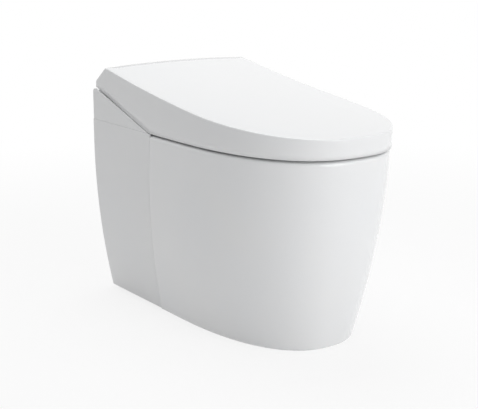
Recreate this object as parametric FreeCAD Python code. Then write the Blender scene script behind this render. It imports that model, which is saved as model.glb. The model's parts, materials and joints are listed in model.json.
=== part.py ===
"""A one-piece electronic toilet with a heated seat, a motor-driven lid and a washing wand.

Millimetres. The origin is on the floor, at the middle of the box round the whole object.
+Z is up, -Y is the front that the user faces away from, and the wall is at +Y.
Every function below builds one sub-part, and the last section writes each to its own file.
"""
import FreeCAD
import Part
import math
import os

Vec = FreeCAD.Vector

# ---------------------------------------------------------------- overall outline
LENGTH = 695.0                      # front of the lid to the rear edge of the side panels
FRONT_Y = -LENGTH / 2
REAR_Y = LENGTH / 2
BODY_HALF_WIDTH = 199.0             # side panels and ceramic above BODY_FLARE_TOP
BODY_BASE_NARROWING = 41.0          # how much narrower each side is at the floor
BODY_BASE_HALF_WIDTH = BODY_HALF_WIDTH - BODY_BASE_NARROWING
RIM_TOP = 406.0                     # top of the ceramic
BODY_FLARE_TOP = RIM_TOP - 46.0     # the sides stand plumb above this height
FRONT_OVERHANG = 4.5                # the lid stands this far in front of the ceramic
FRONT_SLOPE = 74.5                  # how far the foot is set back from the rim at the front
FRONT_SLOPE_TOP = RIM_TOP - 16.0
FRONT_SLOPE_POWER = 1.5
OUTLINE_POWER = 2.4                 # exponent of the rounded front in plan
OUTLINE_STEPS = 9                   # points on each half of the rounded front
CURVE_START_TOP_Y = FRONT_Y + 338.5     # where the straight sides begin to curve, at the rim
CURVE_START_BASE_Y = FRONT_Y + 407.5    # and at the floor
BODY_SECTION_SHARES = (0.0, 0.125, 0.27, 0.445, 0.64, 0.84, 0.96, 1.0)
BODY_SECTIONS = tuple(RIM_TOP * share for share in BODY_SECTION_SHARES)

# ---------------------------------------------------------------- hinges, and the seam that follows them
LID_REAR_RADIUS = 57.5              # the rear face turns about the hinge
HINGE_Y = REAR_Y - LID_REAR_RADIUS
HINGE_Z = RIM_TOP + 62.5
SEAT_AXIS_Y = HINGE_Y - 140.0
SEAT_AXIS_Z = RIM_TOP + 34.0
SEAM_TOP_Y = SEAT_AXIS_Y - 48.5     # seam between ceramic and side panel, at the rim
SEAM_BASE_Y = SEAM_TOP_Y + 29.5     # and at the floor

# ---------------------------------------------------------------- clearances
FIT_GAP = 0.05                      # radial play of a shaft in its bore
RUN_GAP = 0.3                       # play beside a moving piece
SEAM_GAP = 1.0                      # visible joint between two fixed panels
OVERCUT = 1.0                       # how far a cutting solid reaches past what it cuts
LEVEL_TOLERANCE = 0.01              # edges closer than this to a height lie at it
QUARTER_TURN = 90.0
BIG = 900.0                         # size of a cutting block
CUTTER_HALF = 100.0                 # half length of a cutting rod across one piece

# ---------------------------------------------------------------- snout of the case
SNOUT_HALF_WIDTH = 74.0             # part that reaches forward under the seat, for wand and dryer
SNOUT_FRONT_Y = SEAT_AXIS_Y - 88.0
SNOUT_FACE_TOP = RIM_TOP + 5.0
SNOUT_BACK_Y = SEAT_AXIS_Y - 33.0
SNOUT_BACK_TOP = RIM_TOP + 47.0

# ---------------------------------------------------------------- ceramic
CERAMIC_WALL = 11.0
BOWL_WALL = 9.0
RIM_DEPTH = 34.0                    # height of the rim ring round the bowl
RIM_REAR_Y = SEAM_TOP_Y - 3.5
SKIRT_TOP_ROUND = 4.0
SKIRT_FOOT_ROUND = 6.0
DECK_TOP = RIM_TOP - 26.0           # rear deck that carries the case
DECK_THICK = 16.0
DECK_HALF_WIDTH = BODY_HALF_WIDTH - 13.0
DECK_REAR_Y = REAR_Y - 15.5
BOWL_SPACE = 409.5                  # front to snout for which the rings below are drawn
BOWL_STRETCH = (SNOUT_FRONT_Y - FRONT_Y) / BOWL_SPACE
BOWL_BODY_HALF_WIDTH = 199.0        # body for which the rings below are drawn
BOWL_WIDEN = BODY_HALF_WIDTH / BOWL_BODY_HALF_WIDTH
BOWL_RINGS = (                      # depth below RIM_TOP, centre behind FRONT_Y, half length, half width
    (-6.0, 225.5, 165.0, 128.0),
    (26.0, 223.5, 161.0, 125.0),
    (76.0, 217.5, 138.0, 112.0),
    (126.0, 213.5, 104.0, 90.0),
    (176.0, 223.5, 68.0, 64.0),
    (216.0, 243.5, 41.0, 40.0),
    (241.0, 259.5, 28.0, 27.0),
)
BOWL_LOWEST_Z = RIM_TOP - BOWL_RINGS[-1][0]
BOWL_TOP_CENTRE_Y = FRONT_Y + BOWL_RINGS[0][1] * BOWL_STRETCH
FLANGE_THICK = 14.0                 # foot of the ceramic behind the skirt
FLANGE_HALF_WIDTH = BODY_BASE_HALF_WIDTH - 8.0
FLANGE_INNER = FLANGE_HALF_WIDTH - 38.0
FLANGE_START_Y = SEAM_BASE_Y - 71.0
PLINTH_HEIGHT = 90.0
PLINTH_WALL = 12.0
FLOOR_SCREW_X = FLANGE_HALF_WIDTH - 21.0
FLOOR_SCREW_Y = HINGE_Y - 70.0
FLOOR_SCREW_RADIUS = 4.0

# ---------------------------------------------------------------- trap
TRAP_BORE = 22.0
TRAP_WALL = 7.0
TRAP_RADIUS = TRAP_BORE + TRAP_WALL
SUMP_SETBACK = 266.5                # throat behind the front
SUMP_Y = FRONT_Y + SUMP_SETBACK * BOWL_STRETCH
SUMP_BEND = 31.0                    # centre-line radius of the lower bend
WEIR_BEND = 33.0                    # centre-line radius of the upper bend
LOWER_BEND_DEPTH = 286.0            # depths below the rim
UPPER_BEND_DEPTH = 212.0
TRAP_JOINT_DEPTH = 266.0            # where the bowl's throat meets the trap
LOWER_BEND_Z = RIM_TOP - LOWER_BEND_DEPTH
UPPER_BEND_Z = RIM_TOP - UPPER_BEND_DEPTH
TRAP_JOINT_Z = RIM_TOP - TRAP_JOINT_DEPTH
OUTLET_END_Z = 6.0
COLLAR_RADIUS = 38.0
COLLAR_TOP = 44.0
SEAL_RADIUS = 56.0
SEAL_THICK = 14.0
RISING_LEG_Y = SUMP_Y + 2 * SUMP_BEND
OUTLET_Y = RISING_LEG_Y + 2 * WEIR_BEND

# ---------------------------------------------------------------- side and rear panels
PANEL_WALL = 4.0
PANEL_FLOOR_GAP = 5.0
PANEL_TOP = RIM_TOP + 0.5
PANEL_CURVE_STEPS = 7
REAR_PANEL_WALL = 3.5
REAR_PANEL_SETBACK = 10.0
REAR_PANEL_LOW = 16.0
REAR_PANEL_TOP = RIM_TOP - 2.0
REAR_BOSS = 14.0
REAR_BOSS_X = FLANGE_HALF_WIDTH - 50.0
REAR_BOSS_LOW_Z = 50.0
CLIP_WIDTH = 24.0
CLIP_THICK = 3.0
CLIP_Z = 66.0
CLIP_YS = (HINGE_Y - 120.0, HINGE_Y)

# ---------------------------------------------------------------- lid
LID_LOW = RIM_TOP + 4.5             # lower edge of the lid's skirt
LID_HALF_WIDTH = BODY_HALF_WIDTH - 2.0
LID_DRAFT = 0.07                    # the skirt leans in by this much for each mm of height
LID_WALL = 3.5
LID_CROWN = 10.0                    # the top is this much higher in the middle than at its sides
LID_TOP_RADIUS = 5000.0             # bow of the top along its length
LID_FRONT_TOP = RIM_TOP + 41.0      # height of the top's side edge at the front
LID_EDGE_ROUND = 4.0
LINER_WALL = 2.5
LINER_PLAY = 0.1
LINE_SLOPE = 0.313                  # slanting joint between the lid and the rear cheeks
LINE_START_Z = RIM_TOP + 2.0
LINE_GAP = 2.0
LID_ARM_INNER_X = LID_HALF_WIDTH - 23.0
LID_ARM_WALL = 10.0
LID_EYE_RADIUS = 15.0
SHAFT_RADIUS = 6.0
SHAFT_END_X = LID_ARM_INNER_X + LID_ARM_WALL + 2.5
BUFFER_RADIUS = 7.0
LID_BUFFERS = (
    (LID_HALF_WIDTH - 87.0, FRONT_Y + 132.5),
    (LID_HALF_WIDTH - 57.0, SEAT_AXIS_Y - 80.0),
)

# ---------------------------------------------------------------- seat
SEAT_LOW = RIM_TOP + 4.0
SEAT_SPLIT = SEAT_LOW + 10.0
SEAT_TOP = SEAT_SPLIT + 16.0
SEAT_SIDE_GAP = 11.0                # seat edge inside the lid's lower edge
SEAT_REAR_Y = SEAT_AXIS_Y - 38.0
SEAT_BRIDGE_Y = SNOUT_FRONT_Y - 10.0    # rear edge of the ring in front of the snout
SEAT_NOTCH_HALF_WIDTH = SNOUT_HALF_WIDTH + 4.0
SEAT_HOLE_CENTRE_Y = FRONT_Y + 213.5 * BOWL_STRETCH
SEAT_HOLE_HALF_LENGTH = 138.0 * BOWL_STRETCH
SEAT_HOLE_HALF_WIDTH = 106.0 * BOWL_WIDEN
SEAT_EDGE_ROUND = 7.0
SEAT_WALL = 3.5
SEAT_BASE_INSET = 1.5
HEATER_THICK = 1.0
HEATER_INSET = 14.0
SEAT_ARM_INNER_X = LID_HALF_WIDTH - 54.0
SEAT_ARM_OUTER_X = SEAT_ARM_INNER_X + 15.0
SEAT_HUB_RADIUS = 14.0
SEAT_PIN_RADIUS = 7.0
SEAT_PIN_INNER_X = SEAT_ARM_INNER_X - 17.0
SEAT_PIN_OUTER_X = SEAT_ARM_OUTER_X + 1.0
SEAT_BUFFERS = (
    (LID_HALF_WIDTH - 47.0, FRONT_Y + 237.5),
    (LID_HALF_WIDTH - 77.0, FRONT_Y + 112.5),
    (LID_HALF_WIDTH - 52.0, SEAT_REAR_Y - 42.0),
)
SEAT_BUFFER_SIZE = (14.0, 30.0)
SWITCH_X = BODY_HALF_WIDTH - 34.0
SWITCH_Y = SEAT_REAR_Y - 22.0
SWITCH_RADIUS = 4.0
SWITCH_TRAVEL = 2.5
SWITCH_STEM = 16.0

# ---------------------------------------------------------------- case over the rear deck
CASE_WALL = 3.0
CASE_FRONT_HALF_WIDTH = SEAT_ARM_INNER_X - 3.0      # between the seat's arms
CASE_REAR_HALF_WIDTH = LID_ARM_INNER_X - 4.0        # between the lid's arms
CASE_REAR_START_Y = SEAT_AXIS_Y + 38.0
CASE_DRUM_RADIUS = 46.0             # round the lid's hinge
CASE_NOSE_RADIUS = 35.0             # round the seat's hinge
BASE_TOP = RIM_TOP
BASE_HALF_WIDTH = BODY_HALF_WIDTH - 12.0
BASE_FRONT_Y = RIM_REAR_Y + 5.0
BASE_REAR_Y = HINGE_Y + 7.0
CASE_SCREW_X = BASE_HALF_WIDTH - 6.0
CASE_SCREW_YS = (SEAT_AXIS_Y, SEAT_AXIS_Y + 62.0)
CASE_SCREW_RADIUS = 2.5
CASE_SCREW_HEAD = 4.5
CHEEK_OUTER_X = BODY_HALF_WIDTH - 0.5
CHEEK_INNER_X = CHEEK_OUTER_X - 4.0
CHEEK_BOTTOM = RIM_TOP + 3.0
CHEEK_REAR_ROUND = 9.0
CHEEK_REAR_SETBACK = 1.0
LEDGE_INNER_X = CASE_REAR_HALF_WIDTH + 1.0
LEDGE_REAR_Y = HINGE_Y - 64.0
LEDGE_DROP = 2.5

# ---------------------------------------------------------------- washing wand
WAND_X = -34.0
WAND_SLOPE = 30.0                   # degrees below level, pointing forward
WAND_TIP_Y = SNOUT_FRONT_Y + 5.0    # the retracted tip, just behind the snout's front face
WAND_TIP_Z = DECK_TOP + 16.5
WAND_RADIUS = 9.0
WAND_LENGTH = 104.0
WAND_END_WALL = 7.0
INNER_WAND_RADIUS = 6.0
INNER_WAND_LENGTH = 98.0
WAND_TIP_LENGTH = 14.0
WAND_TRAVEL = 58.0
WAND_CHANNEL_PLAY = 2.0
SPRAY_HOLE_RADIUS = 1.0
GUIDE_SIZE = 24.0                   # square section of the guide
GUIDE_SETBACK = 16.0                # guide behind the wand's tip
GUIDE_LENGTH = 70.0
MOTOR_RADIUS = 15.0
MOTOR_LENGTH = 24.0
GUARD_THICK = 2.0
GUARD_HOLE = WAND_RADIUS + 1.5
GUARD_HALF_WIDTH = 17.0
GUARD_LOW = DECK_TOP + 2.0
GUARD_TOP = RIM_TOP + 3.0

# ---------------------------------------------------------------- warm-air dryer
DRYER_X = (6.0, 58.0)
DUCT_WALL = 2.0
DUCT_Z = (DECK_TOP + DUCT_WALL, DECK_TOP + 25.0)
DUCT_REAR_Y = SEAT_AXIS_Y + 26.0
FLAP_THICK = 2.0
FLAP_SIDE_GAP = 0.6
FLAP_HINGE_RADIUS = 2.0
FLAP_HINGE_Z = DUCT_Z[1] - 2.5
FAN_X = 52.0
FAN_Y = DUCT_REAR_Y + 46.0
FAN_RADIUS = 44.0
FAN_Z = (DECK_TOP, DECK_TOP + 35.0)
FAN_WALL = 2.5
FAN_BLADES = 12
FAN_SHAFT_RADIUS = 3.0
HEATER_Y = (DUCT_REAR_Y - 80.0, DUCT_REAR_Y - 36.0)
HEATER_PLATES = 6

# ---------------------------------------------------------------- other units in the case
DEODORISER_X = -CASE_FRONT_HALF_WIDTH + 43.0
DEODORISER_Y = SEAT_AXIS_Y
DEODORISER_RADIUS = 22.0
DEODORISER_BLADES = 9
DEODORISER_Z = (DECK_TOP, DECK_TOP + 28.0)
CARTRIDGE_X = (-CASE_FRONT_HALF_WIDTH + 6.0, -CASE_FRONT_HALF_WIDTH + 74.0)
CARTRIDGE_Y = (DEODORISER_Y + 26.0, DEODORISER_Y + 46.0)
CARTRIDGE_Z = (DECK_TOP, DECK_TOP + 32.0)
CARTRIDGE_SLOTS = 6
CARTRIDGE_SLOT_HALF = 2.0
CARTRIDGE_MARGIN = 4.0
EXCHANGER_X = (-CASE_REAR_HALF_WIDTH + 10.0, -CASE_REAR_HALF_WIDTH + 100.0)
EXCHANGER_Y = (CARTRIDGE_Y[1] + 6.0, CARTRIDGE_Y[1] + 60.0)
EXCHANGER_Z = (DECK_TOP, DECK_TOP + 60.0)
BOARD_X = (CARTRIDGE_X[1] + 16.0, CASE_FRONT_HALF_WIDTH - 20.0)
BOARD_Y = (SEAT_AXIS_Y + 32.0, SEAT_AXIS_Y + 112.0)
BOARD_Z = (DECK_TOP + 50.0, DECK_TOP + 51.6)
BOARD_POST_RADIUS = 4.0
CHIP_COUNT = 7
CHIP_SIZE = (12.0, 20.0, 8.0)
CHIP_START_Y = 24.0
CHIP_SINK = 1.1                     # how far a component's legs reach into the board
COVER_GAP = 4.0
COVER_TOP = DECK_TOP + 70.0
DRIVE_LID_X = (CASE_REAR_HALF_WIDTH - 90.0, CASE_REAR_HALF_WIDTH - 20.0)
DRIVE_LID_RADIUS = 28.0
DRIVE_MOTOR_RADIUS = 17.0
DRIVE_SEAT_X = (CASE_FRONT_HALF_WIDTH - 56.0, CASE_FRONT_HALF_WIDTH - 5.0)
DRIVE_SEAT_RADIUS = 24.0
BEARING_WALL = 5.0
WINDOW_SIZE = (46.0, 12.0)          # sensor window in the case's front face
WINDOW_Z = DECK_TOP + 44.0
WINDOW_X = CASE_FRONT_HALF_WIDTH - 32.0
LAMP_RADIUS = 3.5
LAMP_X = -WINDOW_X

# ---------------------------------------------------------------- water and flushing, behind the bowl
TANK_HALF_WIDTH = FLANGE_HALF_WIDTH - 32.0
TANK_Y = (REAR_Y - 169.5, REAR_Y - 25.5)
TANK_Z = (DECK_TOP - 256.0, DECK_TOP - 28.0)
TANK_WALL = 3.0
TANK_ROUND = 16.0
STAND_WALL = 3.0
STAND_HALF_WIDTH = TANK_HALF_WIDTH + 1.0
STAND_Y = (TANK_Y[0] + 8.0, TANK_Y[1] - 8.0)
PUMP_RADIUS = 40.0
PUMP_SIDE_GAP = 16.0                # room between the pump and the stand's leg
PUMP_X = STAND_HALF_WIDTH - STAND_WALL - PUMP_RADIUS - PUMP_SIDE_GAP
PUMP_Y = TANK_Y[0] + 58.0
PUMP_Z = (FLANGE_THICK, FLANGE_THICK + 60.0)
PUMP_WALL = 4.0
PUMP_BLADES = 7
PUMP_SHAFT_RADIUS = 4.0
PIPE_RADIUS = 9.0
PIPE_BORE = 6.5
PIPE_BEND = 22.0
JET_Y = BOWL_TOP_CENTRE_Y
JET_TOP = RIM_TOP - 156.0
PUMP_OUTLET = 5.0
VALVE_X = -BODY_HALF_WIDTH + 53.0
VALVE_LENGTH = 40.0
VALVE_Z = (176.0, 224.0)
VALVE_HALF_WIDTH = 16.0
VALVE_COIL_RADIUS = 12.0
VALVE_COIL_LENGTH = 32.0
INLET_Z = 200.0
INLET_RADIUS = 10.48                # half-inch pipe thread
INLET_END_Y = REAR_Y - 1.0
INLET_FLANGE_RADIUS = 16.0
INLET_FLANGE_THICK = 3.0
GLAND_X = BODY_HALF_WIDTH - 49.0
GLAND_Z = 120.0
GLAND_RADIUS = 9.0
GLAND_BORE = 4.2
GLAND_COLLAR = 4.0
BREAKER_RADIUS = 13.0
BREAKER_TOP = 300.0


# ---------------------------------------------------------------- helpers
def box(x, y, z):
    """Box between two values along each axis."""
    return Part.makeBox(x[1] - x[0], y[1] - y[0], z[1] - z[0], Vec(x[0], y[0], z[0]))


def rod_x(y, z, radius, x):
    """Round bar along X."""
    return Part.makeCylinder(radius, x[1] - x[0], Vec(x[0], y, z), Vec(1, 0, 0))


def rod_y(x, z, radius, y):
    """Round bar along Y."""
    return Part.makeCylinder(radius, y[1] - y[0], Vec(x, y[0], z), Vec(0, 1, 0))


def rod_z(x, y, radius, z):
    """Round bar along Z."""
    return Part.makeCylinder(radius, z[1] - z[0], Vec(x, y, z[0]), Vec(0, 0, 1))


def side_plate(points, x):
    """Polygon of (y, z) points, extruded between two x values."""
    corners = [Vec(x[0], py, pz) for py, pz in points]
    face = Part.Face(Part.makePolygon(corners + corners[:1]))
    return face.extrude(Vec(x[1] - x[0], 0, 0))


def mirrored(shape):
    """The same shape on the other side of the middle plane."""
    return shape.mirror(Vec(0, 0, 0), Vec(1, 0, 0))


def pair(shape):
    """A shape and its mirror image, as separate solids of one node."""
    return Part.makeCompound([shape, mirrored(shape)])


def joined(shapes):
    """All shapes as one solid."""
    whole = shapes[0]
    for shape in shapes[1:]:
        whole = whole.fuse(shape)
    return whole.removeSplitter()


def without(shape, tools):
    """A shape with each tool taken away."""
    for tool in tools:
        shape = shape.cut(tool)
    return shape


def rounded_box(x, y, z, radius):
    """Box whose upright edges are rounded."""
    solid = box(x, y, z)
    upright = [e for e in solid.Edges if e.BoundBox.ZLength > LEVEL_TOLERANCE]
    return solid.makeFillet(radius, upright)


def open_box(x, y, z, wall):
    """Closed tank: a box with a hollow inside."""
    inner = [(low + wall, high - wall) for low, high in (x, y, z)]
    return box(x, y, z).cut(box(*inner))


# ---------------------------------------------------------------- plan outline
def front_curve(half_width, start_y, front_y, z):
    """Rounded front of a plan section, from the left side over the front to the right side."""
    points = []
    for step in range(-OUTLINE_STEPS, OUTLINE_STEPS + 1):
        angle = math.pi / 2 * (1 - abs(step) / OUTLINE_STEPS)
        reach = math.copysign(half_width * math.cos(angle) ** (2 / OUTLINE_POWER), step)
        depth = (start_y - front_y) * math.sin(angle) ** (2 / OUTLINE_POWER)
        points.append(Vec(reach if step else 0.0, start_y - depth, z))
    curve = Part.BSplineCurve()
    curve.interpolate(Points=points, InitialTangent=Vec(0, -1, 0), FinalTangent=Vec(0, 1, 0))
    return curve.toShape()


def plan_wire(half_width, start_y, front_y, rear_y, z):
    """Closed plan section: rounded front, straight sides, straight rear."""
    left_start = Vec(-half_width, start_y, z)
    left_rear = Vec(-half_width, rear_y, z)
    right_start = Vec(half_width, start_y, z)
    right_rear = Vec(half_width, rear_y, z)
    return Part.Wire([
        front_curve(half_width, start_y, front_y, z),
        Part.makeLine(right_start, right_rear),
        Part.makeLine(right_rear, left_rear),
        Part.makeLine(left_rear, left_start),
    ])


def body_half_width(z):
    """Half width of the body at a height."""
    below = max(0.0, 1 - z / BODY_FLARE_TOP)
    return BODY_HALF_WIDTH - BODY_BASE_NARROWING * below ** 2


def body_front(z):
    """Front of the ceramic at a height."""
    below = max(0.0, 1 - z / FRONT_SLOPE_TOP)
    return FRONT_Y + FRONT_OVERHANG + FRONT_SLOPE * below ** FRONT_SLOPE_POWER


def body_curve_start(z):
    """Where the straight side gives way to the rounded front, at a height."""
    return CURVE_START_BASE_Y + (CURVE_START_TOP_Y - CURVE_START_BASE_Y) * z / RIM_TOP


def body_loft(inset):
    """The ceramic's outer form, or the form inside its wall."""
    wires = [
        plan_wire(body_half_width(z) - inset, body_curve_start(z), body_front(z) + inset, REAR_Y, z)
        for z in BODY_SECTIONS
    ]
    return Part.makeLoft(wires, True, False)


def front_of_seam():
    """Block in front of the slanting seam between the ceramic and the side panels."""
    lean = (SEAM_BASE_Y - SEAM_TOP_Y) / RIM_TOP
    points = [
        (-BIG, -BIG),
        (SEAM_BASE_Y + lean * BIG, -BIG),
        (SEAM_TOP_Y - lean * BIG, RIM_TOP + BIG),
        (-BIG, RIM_TOP + BIG),
    ]
    return side_plate(points, (-BIG, BIG))


# ---------------------------------------------------------------- ceramic
def ceramic_skirt():
    """Outer ceramic wall with its foot, open at the rear."""
    outer = body_loft(0.0)
    outer = outer.makeFillet(SKIRT_TOP_ROUND, curved_edges_at(outer, RIM_TOP))
    outer = outer.makeFillet(SKIRT_FOOT_ROUND, curved_edges_at(outer, 0.0))
    wall = outer.common(front_of_seam()).cut(body_loft(CERAMIC_WALL))
    floor_z = (0.0, FLANGE_THICK)
    inner_edge = FLANGE_HALF_WIDTH - PLINTH_WALL
    rear_edge = DECK_REAR_Y - PLINTH_WALL
    foot = joined([
        box((FLANGE_INNER, FLANGE_HALF_WIDTH), (FLANGE_START_Y, DECK_REAR_Y), floor_z),
        box((inner_edge, FLANGE_HALF_WIDTH), (SEAM_BASE_Y, DECK_REAR_Y), (0.0, PLINTH_HEIGHT)),
    ])
    rear = box((-FLANGE_HALF_WIDTH, FLANGE_HALF_WIDTH), (rear_edge, DECK_REAR_Y), (0.0, PLINTH_HEIGHT))
    through = (-OVERCUT, FLANGE_THICK + OVERCUT)
    screw = rod_z(FLOOR_SCREW_X, FLOOR_SCREW_Y, FLOOR_SCREW_RADIUS + FIT_GAP, through)
    solid = joined([wall, foot, mirrored(foot), rear])
    return without(solid, [screw, mirrored(screw)])


def curved_edges_at(solid, z):
    """The rounded front edge and the two straight side edges at a height, without the rear edge."""
    found = []
    for edge in solid.Edges:
        bounds = edge.BoundBox
        level = abs(bounds.ZMin - z) < LEVEL_TOLERANCE and abs(bounds.ZMax - z) < LEVEL_TOLERANCE
        at_rear = bounds.YMin > REAR_Y - LEVEL_TOLERANCE
        if level and not at_rear:
            found.append(edge)
    return found


def bowl_loft(grow):
    """Bowl form through the rings, grown all round and made deeper by the same amount."""
    wires = []
    for depth, behind, half_length, half_width in BOWL_RINGS:
        height = max(RIM_TOP - depth, BOWL_LOWEST_Z)
        if height == BOWL_LOWEST_Z:
            height -= grow
        centre = Vec(0, FRONT_Y + behind * BOWL_STRETCH, height)
        wires.append(oval(centre, half_length * BOWL_STRETCH + grow, half_width * BOWL_WIDEN + grow))
    return Part.makeLoft(wires, True, False)


def oval(centre, half_length, half_width):
    """Level ellipse with one axis along Y, whichever is the longer."""
    if half_width > half_length:
        return Part.Wire([Part.Ellipse(centre, half_width, half_length).toShape()])
    edge = Part.Ellipse(centre, half_length, half_width).toShape()
    edge.rotate(centre, Vec(0, 0, 1), QUARTER_TURN)
    return Part.Wire([edge])


def trap_path(beyond):
    """Centre line of the trap, down from the throat and up over the weir, and further down by a length."""
    start = Vec(0, SUMP_Y, TRAP_JOINT_Z + beyond)
    low_middle = Vec(0, SUMP_Y + SUMP_BEND, LOWER_BEND_Z - SUMP_BEND)
    top_middle = Vec(0, RISING_LEG_Y + WEIR_BEND, UPPER_BEND_Z + WEIR_BEND)
    sump = Vec(0, SUMP_Y, LOWER_BEND_Z)
    rise = Vec(0, RISING_LEG_Y, LOWER_BEND_Z)
    top = Vec(0, RISING_LEG_Y, UPPER_BEND_Z)
    fall = Vec(0, OUTLET_Y, UPPER_BEND_Z)
    edges = [
        Part.makeLine(start, sump),
        Part.Arc(sump, low_middle, rise).toShape(),
        Part.makeLine(rise, top),
        Part.Arc(top, top_middle, fall).toShape(),
    ]
    if beyond:
        edges.append(Part.makeLine(fall, fall.sub(Vec(0, 0, beyond))))
    return Part.Wire(edges)


def pipe_along(path, start, direction, radius):
    """Round solid swept along a path."""
    ring = Part.Wire([Part.makeCircle(radius, start, direction)])
    return path.makePipeShell([ring], True, False)


def ceramic_hollows():
    """What the ceramic leaves open: bowl, throat, place for the case, wand channel and switch hole."""
    throat = rod_z(0.0, SUMP_Y, TRAP_BORE, (TRAP_JOINT_Z - OVERCUT, BOWL_LOWEST_Z + CERAMIC_WALL))
    half = SNOUT_HALF_WIDTH + SEAM_GAP
    above_deck = (DECK_TOP, RIM_TOP + OVERCUT)
    recess = box((-half, half), (SNOUT_FRONT_Y - SEAM_GAP - GUARD_THICK, RIM_REAR_Y + OVERCUT), above_deck)
    mouth = box((-half, half), (BOWL_TOP_CENTRE_Y, SNOUT_FRONT_Y), above_deck)
    switch_z = (RIM_TOP - SWITCH_STEM - SWITCH_TRAVEL, RIM_TOP + OVERCUT)
    switch = rod_z(-SWITCH_X, SWITCH_Y, SWITCH_RADIUS + RUN_GAP, switch_z)
    return [bowl_loft(0.0), throat, recess, mouth, wand_channel(), switch]


def ceramic_rim():
    """Rim round the bowl, and the rear deck that carries the case."""
    rim_z = (RIM_TOP - RIM_DEPTH, RIM_TOP)
    rim = body_loft(CERAMIC_WALL).common(box((-BIG, BIG), (-BIG, RIM_REAR_Y), rim_z))
    deck_z = (DECK_TOP - DECK_THICK, DECK_TOP)
    deck = box((-DECK_HALF_WIDTH, DECK_HALF_WIDTH), (SNOUT_FRONT_Y, DECK_REAR_Y), deck_z)
    return without(joined([rim, deck]), ceramic_hollows())


def ceramic_bowl():
    """Basin under the rim, with its throat."""
    below_rim = box((-BIG, BIG), (-BIG, BIG), (0.0, RIM_TOP - RIM_DEPTH))
    shell = bowl_loft(BOWL_WALL).common(below_rim)
    throat = rod_z(0.0, SUMP_Y, TRAP_RADIUS, (TRAP_JOINT_Z, BOWL_LOWEST_Z))
    return without(joined([shell, throat]), ceramic_hollows())


def wand_channel():
    """Slanting cut through the back of the rim, wide enough for the wand over its whole travel."""
    reach = WAND_TRAVEL * 2 + WAND_TIP_LENGTH
    half = GUARD_HALF_WIDTH
    drop = WAND_RADIUS + WAND_CHANNEL_PLAY
    block = box((WAND_X - half, WAND_X + half), (-reach, 0.0), (-drop, GUIDE_SIZE))
    return to_wand(block)


def trapway():
    """Siphon trap from the bowl's throat over the weir."""
    down = Vec(0, 0, 1)
    tube = pipe_along(trap_path(0.0), Vec(0, SUMP_Y, TRAP_JOINT_Z), down, TRAP_RADIUS)
    start = Vec(0, SUMP_Y, TRAP_JOINT_Z + OVERCUT)
    return tube.cut(pipe_along(trap_path(OVERCUT), start, down, TRAP_BORE))


def trap_outlet():
    """Last leg of the trap, with the collar that meets the floor drain."""
    leg = rod_z(0.0, OUTLET_Y, TRAP_RADIUS, (OUTLET_END_Z, UPPER_BEND_Z))
    collar = rod_z(0.0, OUTLET_Y, COLLAR_RADIUS, (OUTLET_END_Z, COLLAR_TOP))
    bore = rod_z(0.0, OUTLET_Y, TRAP_BORE, (OUTLET_END_Z - OVERCUT, UPPER_BEND_Z + OVERCUT))
    return joined([leg, collar]).cut(bore)


def drain_seal():
    """Soft ring between the outlet collar and the floor."""
    ring = rod_z(0.0, OUTLET_Y, SEAL_RADIUS, (0.0, SEAL_THICK))
    return ring.cut(rod_z(0.0, OUTLET_Y, COLLAR_RADIUS, (-OVERCUT, SEAL_THICK + OVERCUT)))

# ---------------------------------------------------------------- side and rear panels
def side_panel(side):
    """Plastic side panel that carries on the ceramic's outer form to the rear."""
    low, high = PANEL_FLOOR_GAP, PANEL_TOP
    levels = [low + (high - low) * n / PANEL_CURVE_STEPS for n in range(PANEL_CURVE_STEPS + 1)]
    outer = [Vec(side * body_half_width(z), 0, z) for z in levels]
    inner = [Vec(side * (body_half_width(z) - PANEL_WALL), 0, z) for z in levels]
    edges = []
    for points in (outer, inner):
        curve = Part.BSplineCurve()
        curve.interpolate(points)
        edges.append(curve.toShape())
    edges.append(Part.makeLine(outer[0], inner[0]))
    edges.append(Part.makeLine(outer[-1], inner[-1]))
    face = Part.Face(Part.Wire(Part.__sortEdges__(edges)))
    face.translate(Vec(0, SEAM_TOP_Y - PANEL_WALL, 0))
    solid = face.extrude(Vec(0, REAR_Y - SEAM_TOP_Y + PANEL_WALL, 0))
    seam = front_of_seam()
    seam.translate(Vec(0, SEAM_GAP, 0))
    return solid.cut(seam)


def panel_clips():
    """Clips between the ceramic foot and the side panels."""
    clips = []
    for y in CLIP_YS:
        reach = (FLANGE_HALF_WIDTH, body_half_width(CLIP_Z) - PANEL_WALL - LINER_PLAY)
        clip = box(reach, (y, y + CLIP_WIDTH), (CLIP_Z, CLIP_Z + CLIP_THICK))
        clips += [clip, mirrored(clip)]
    return Part.makeCompound(clips)


def rear_panel_faces():
    """Front and back of the rear panel."""
    back = REAR_Y - REAR_PANEL_SETBACK
    return back - REAR_PANEL_WALL, back


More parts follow.
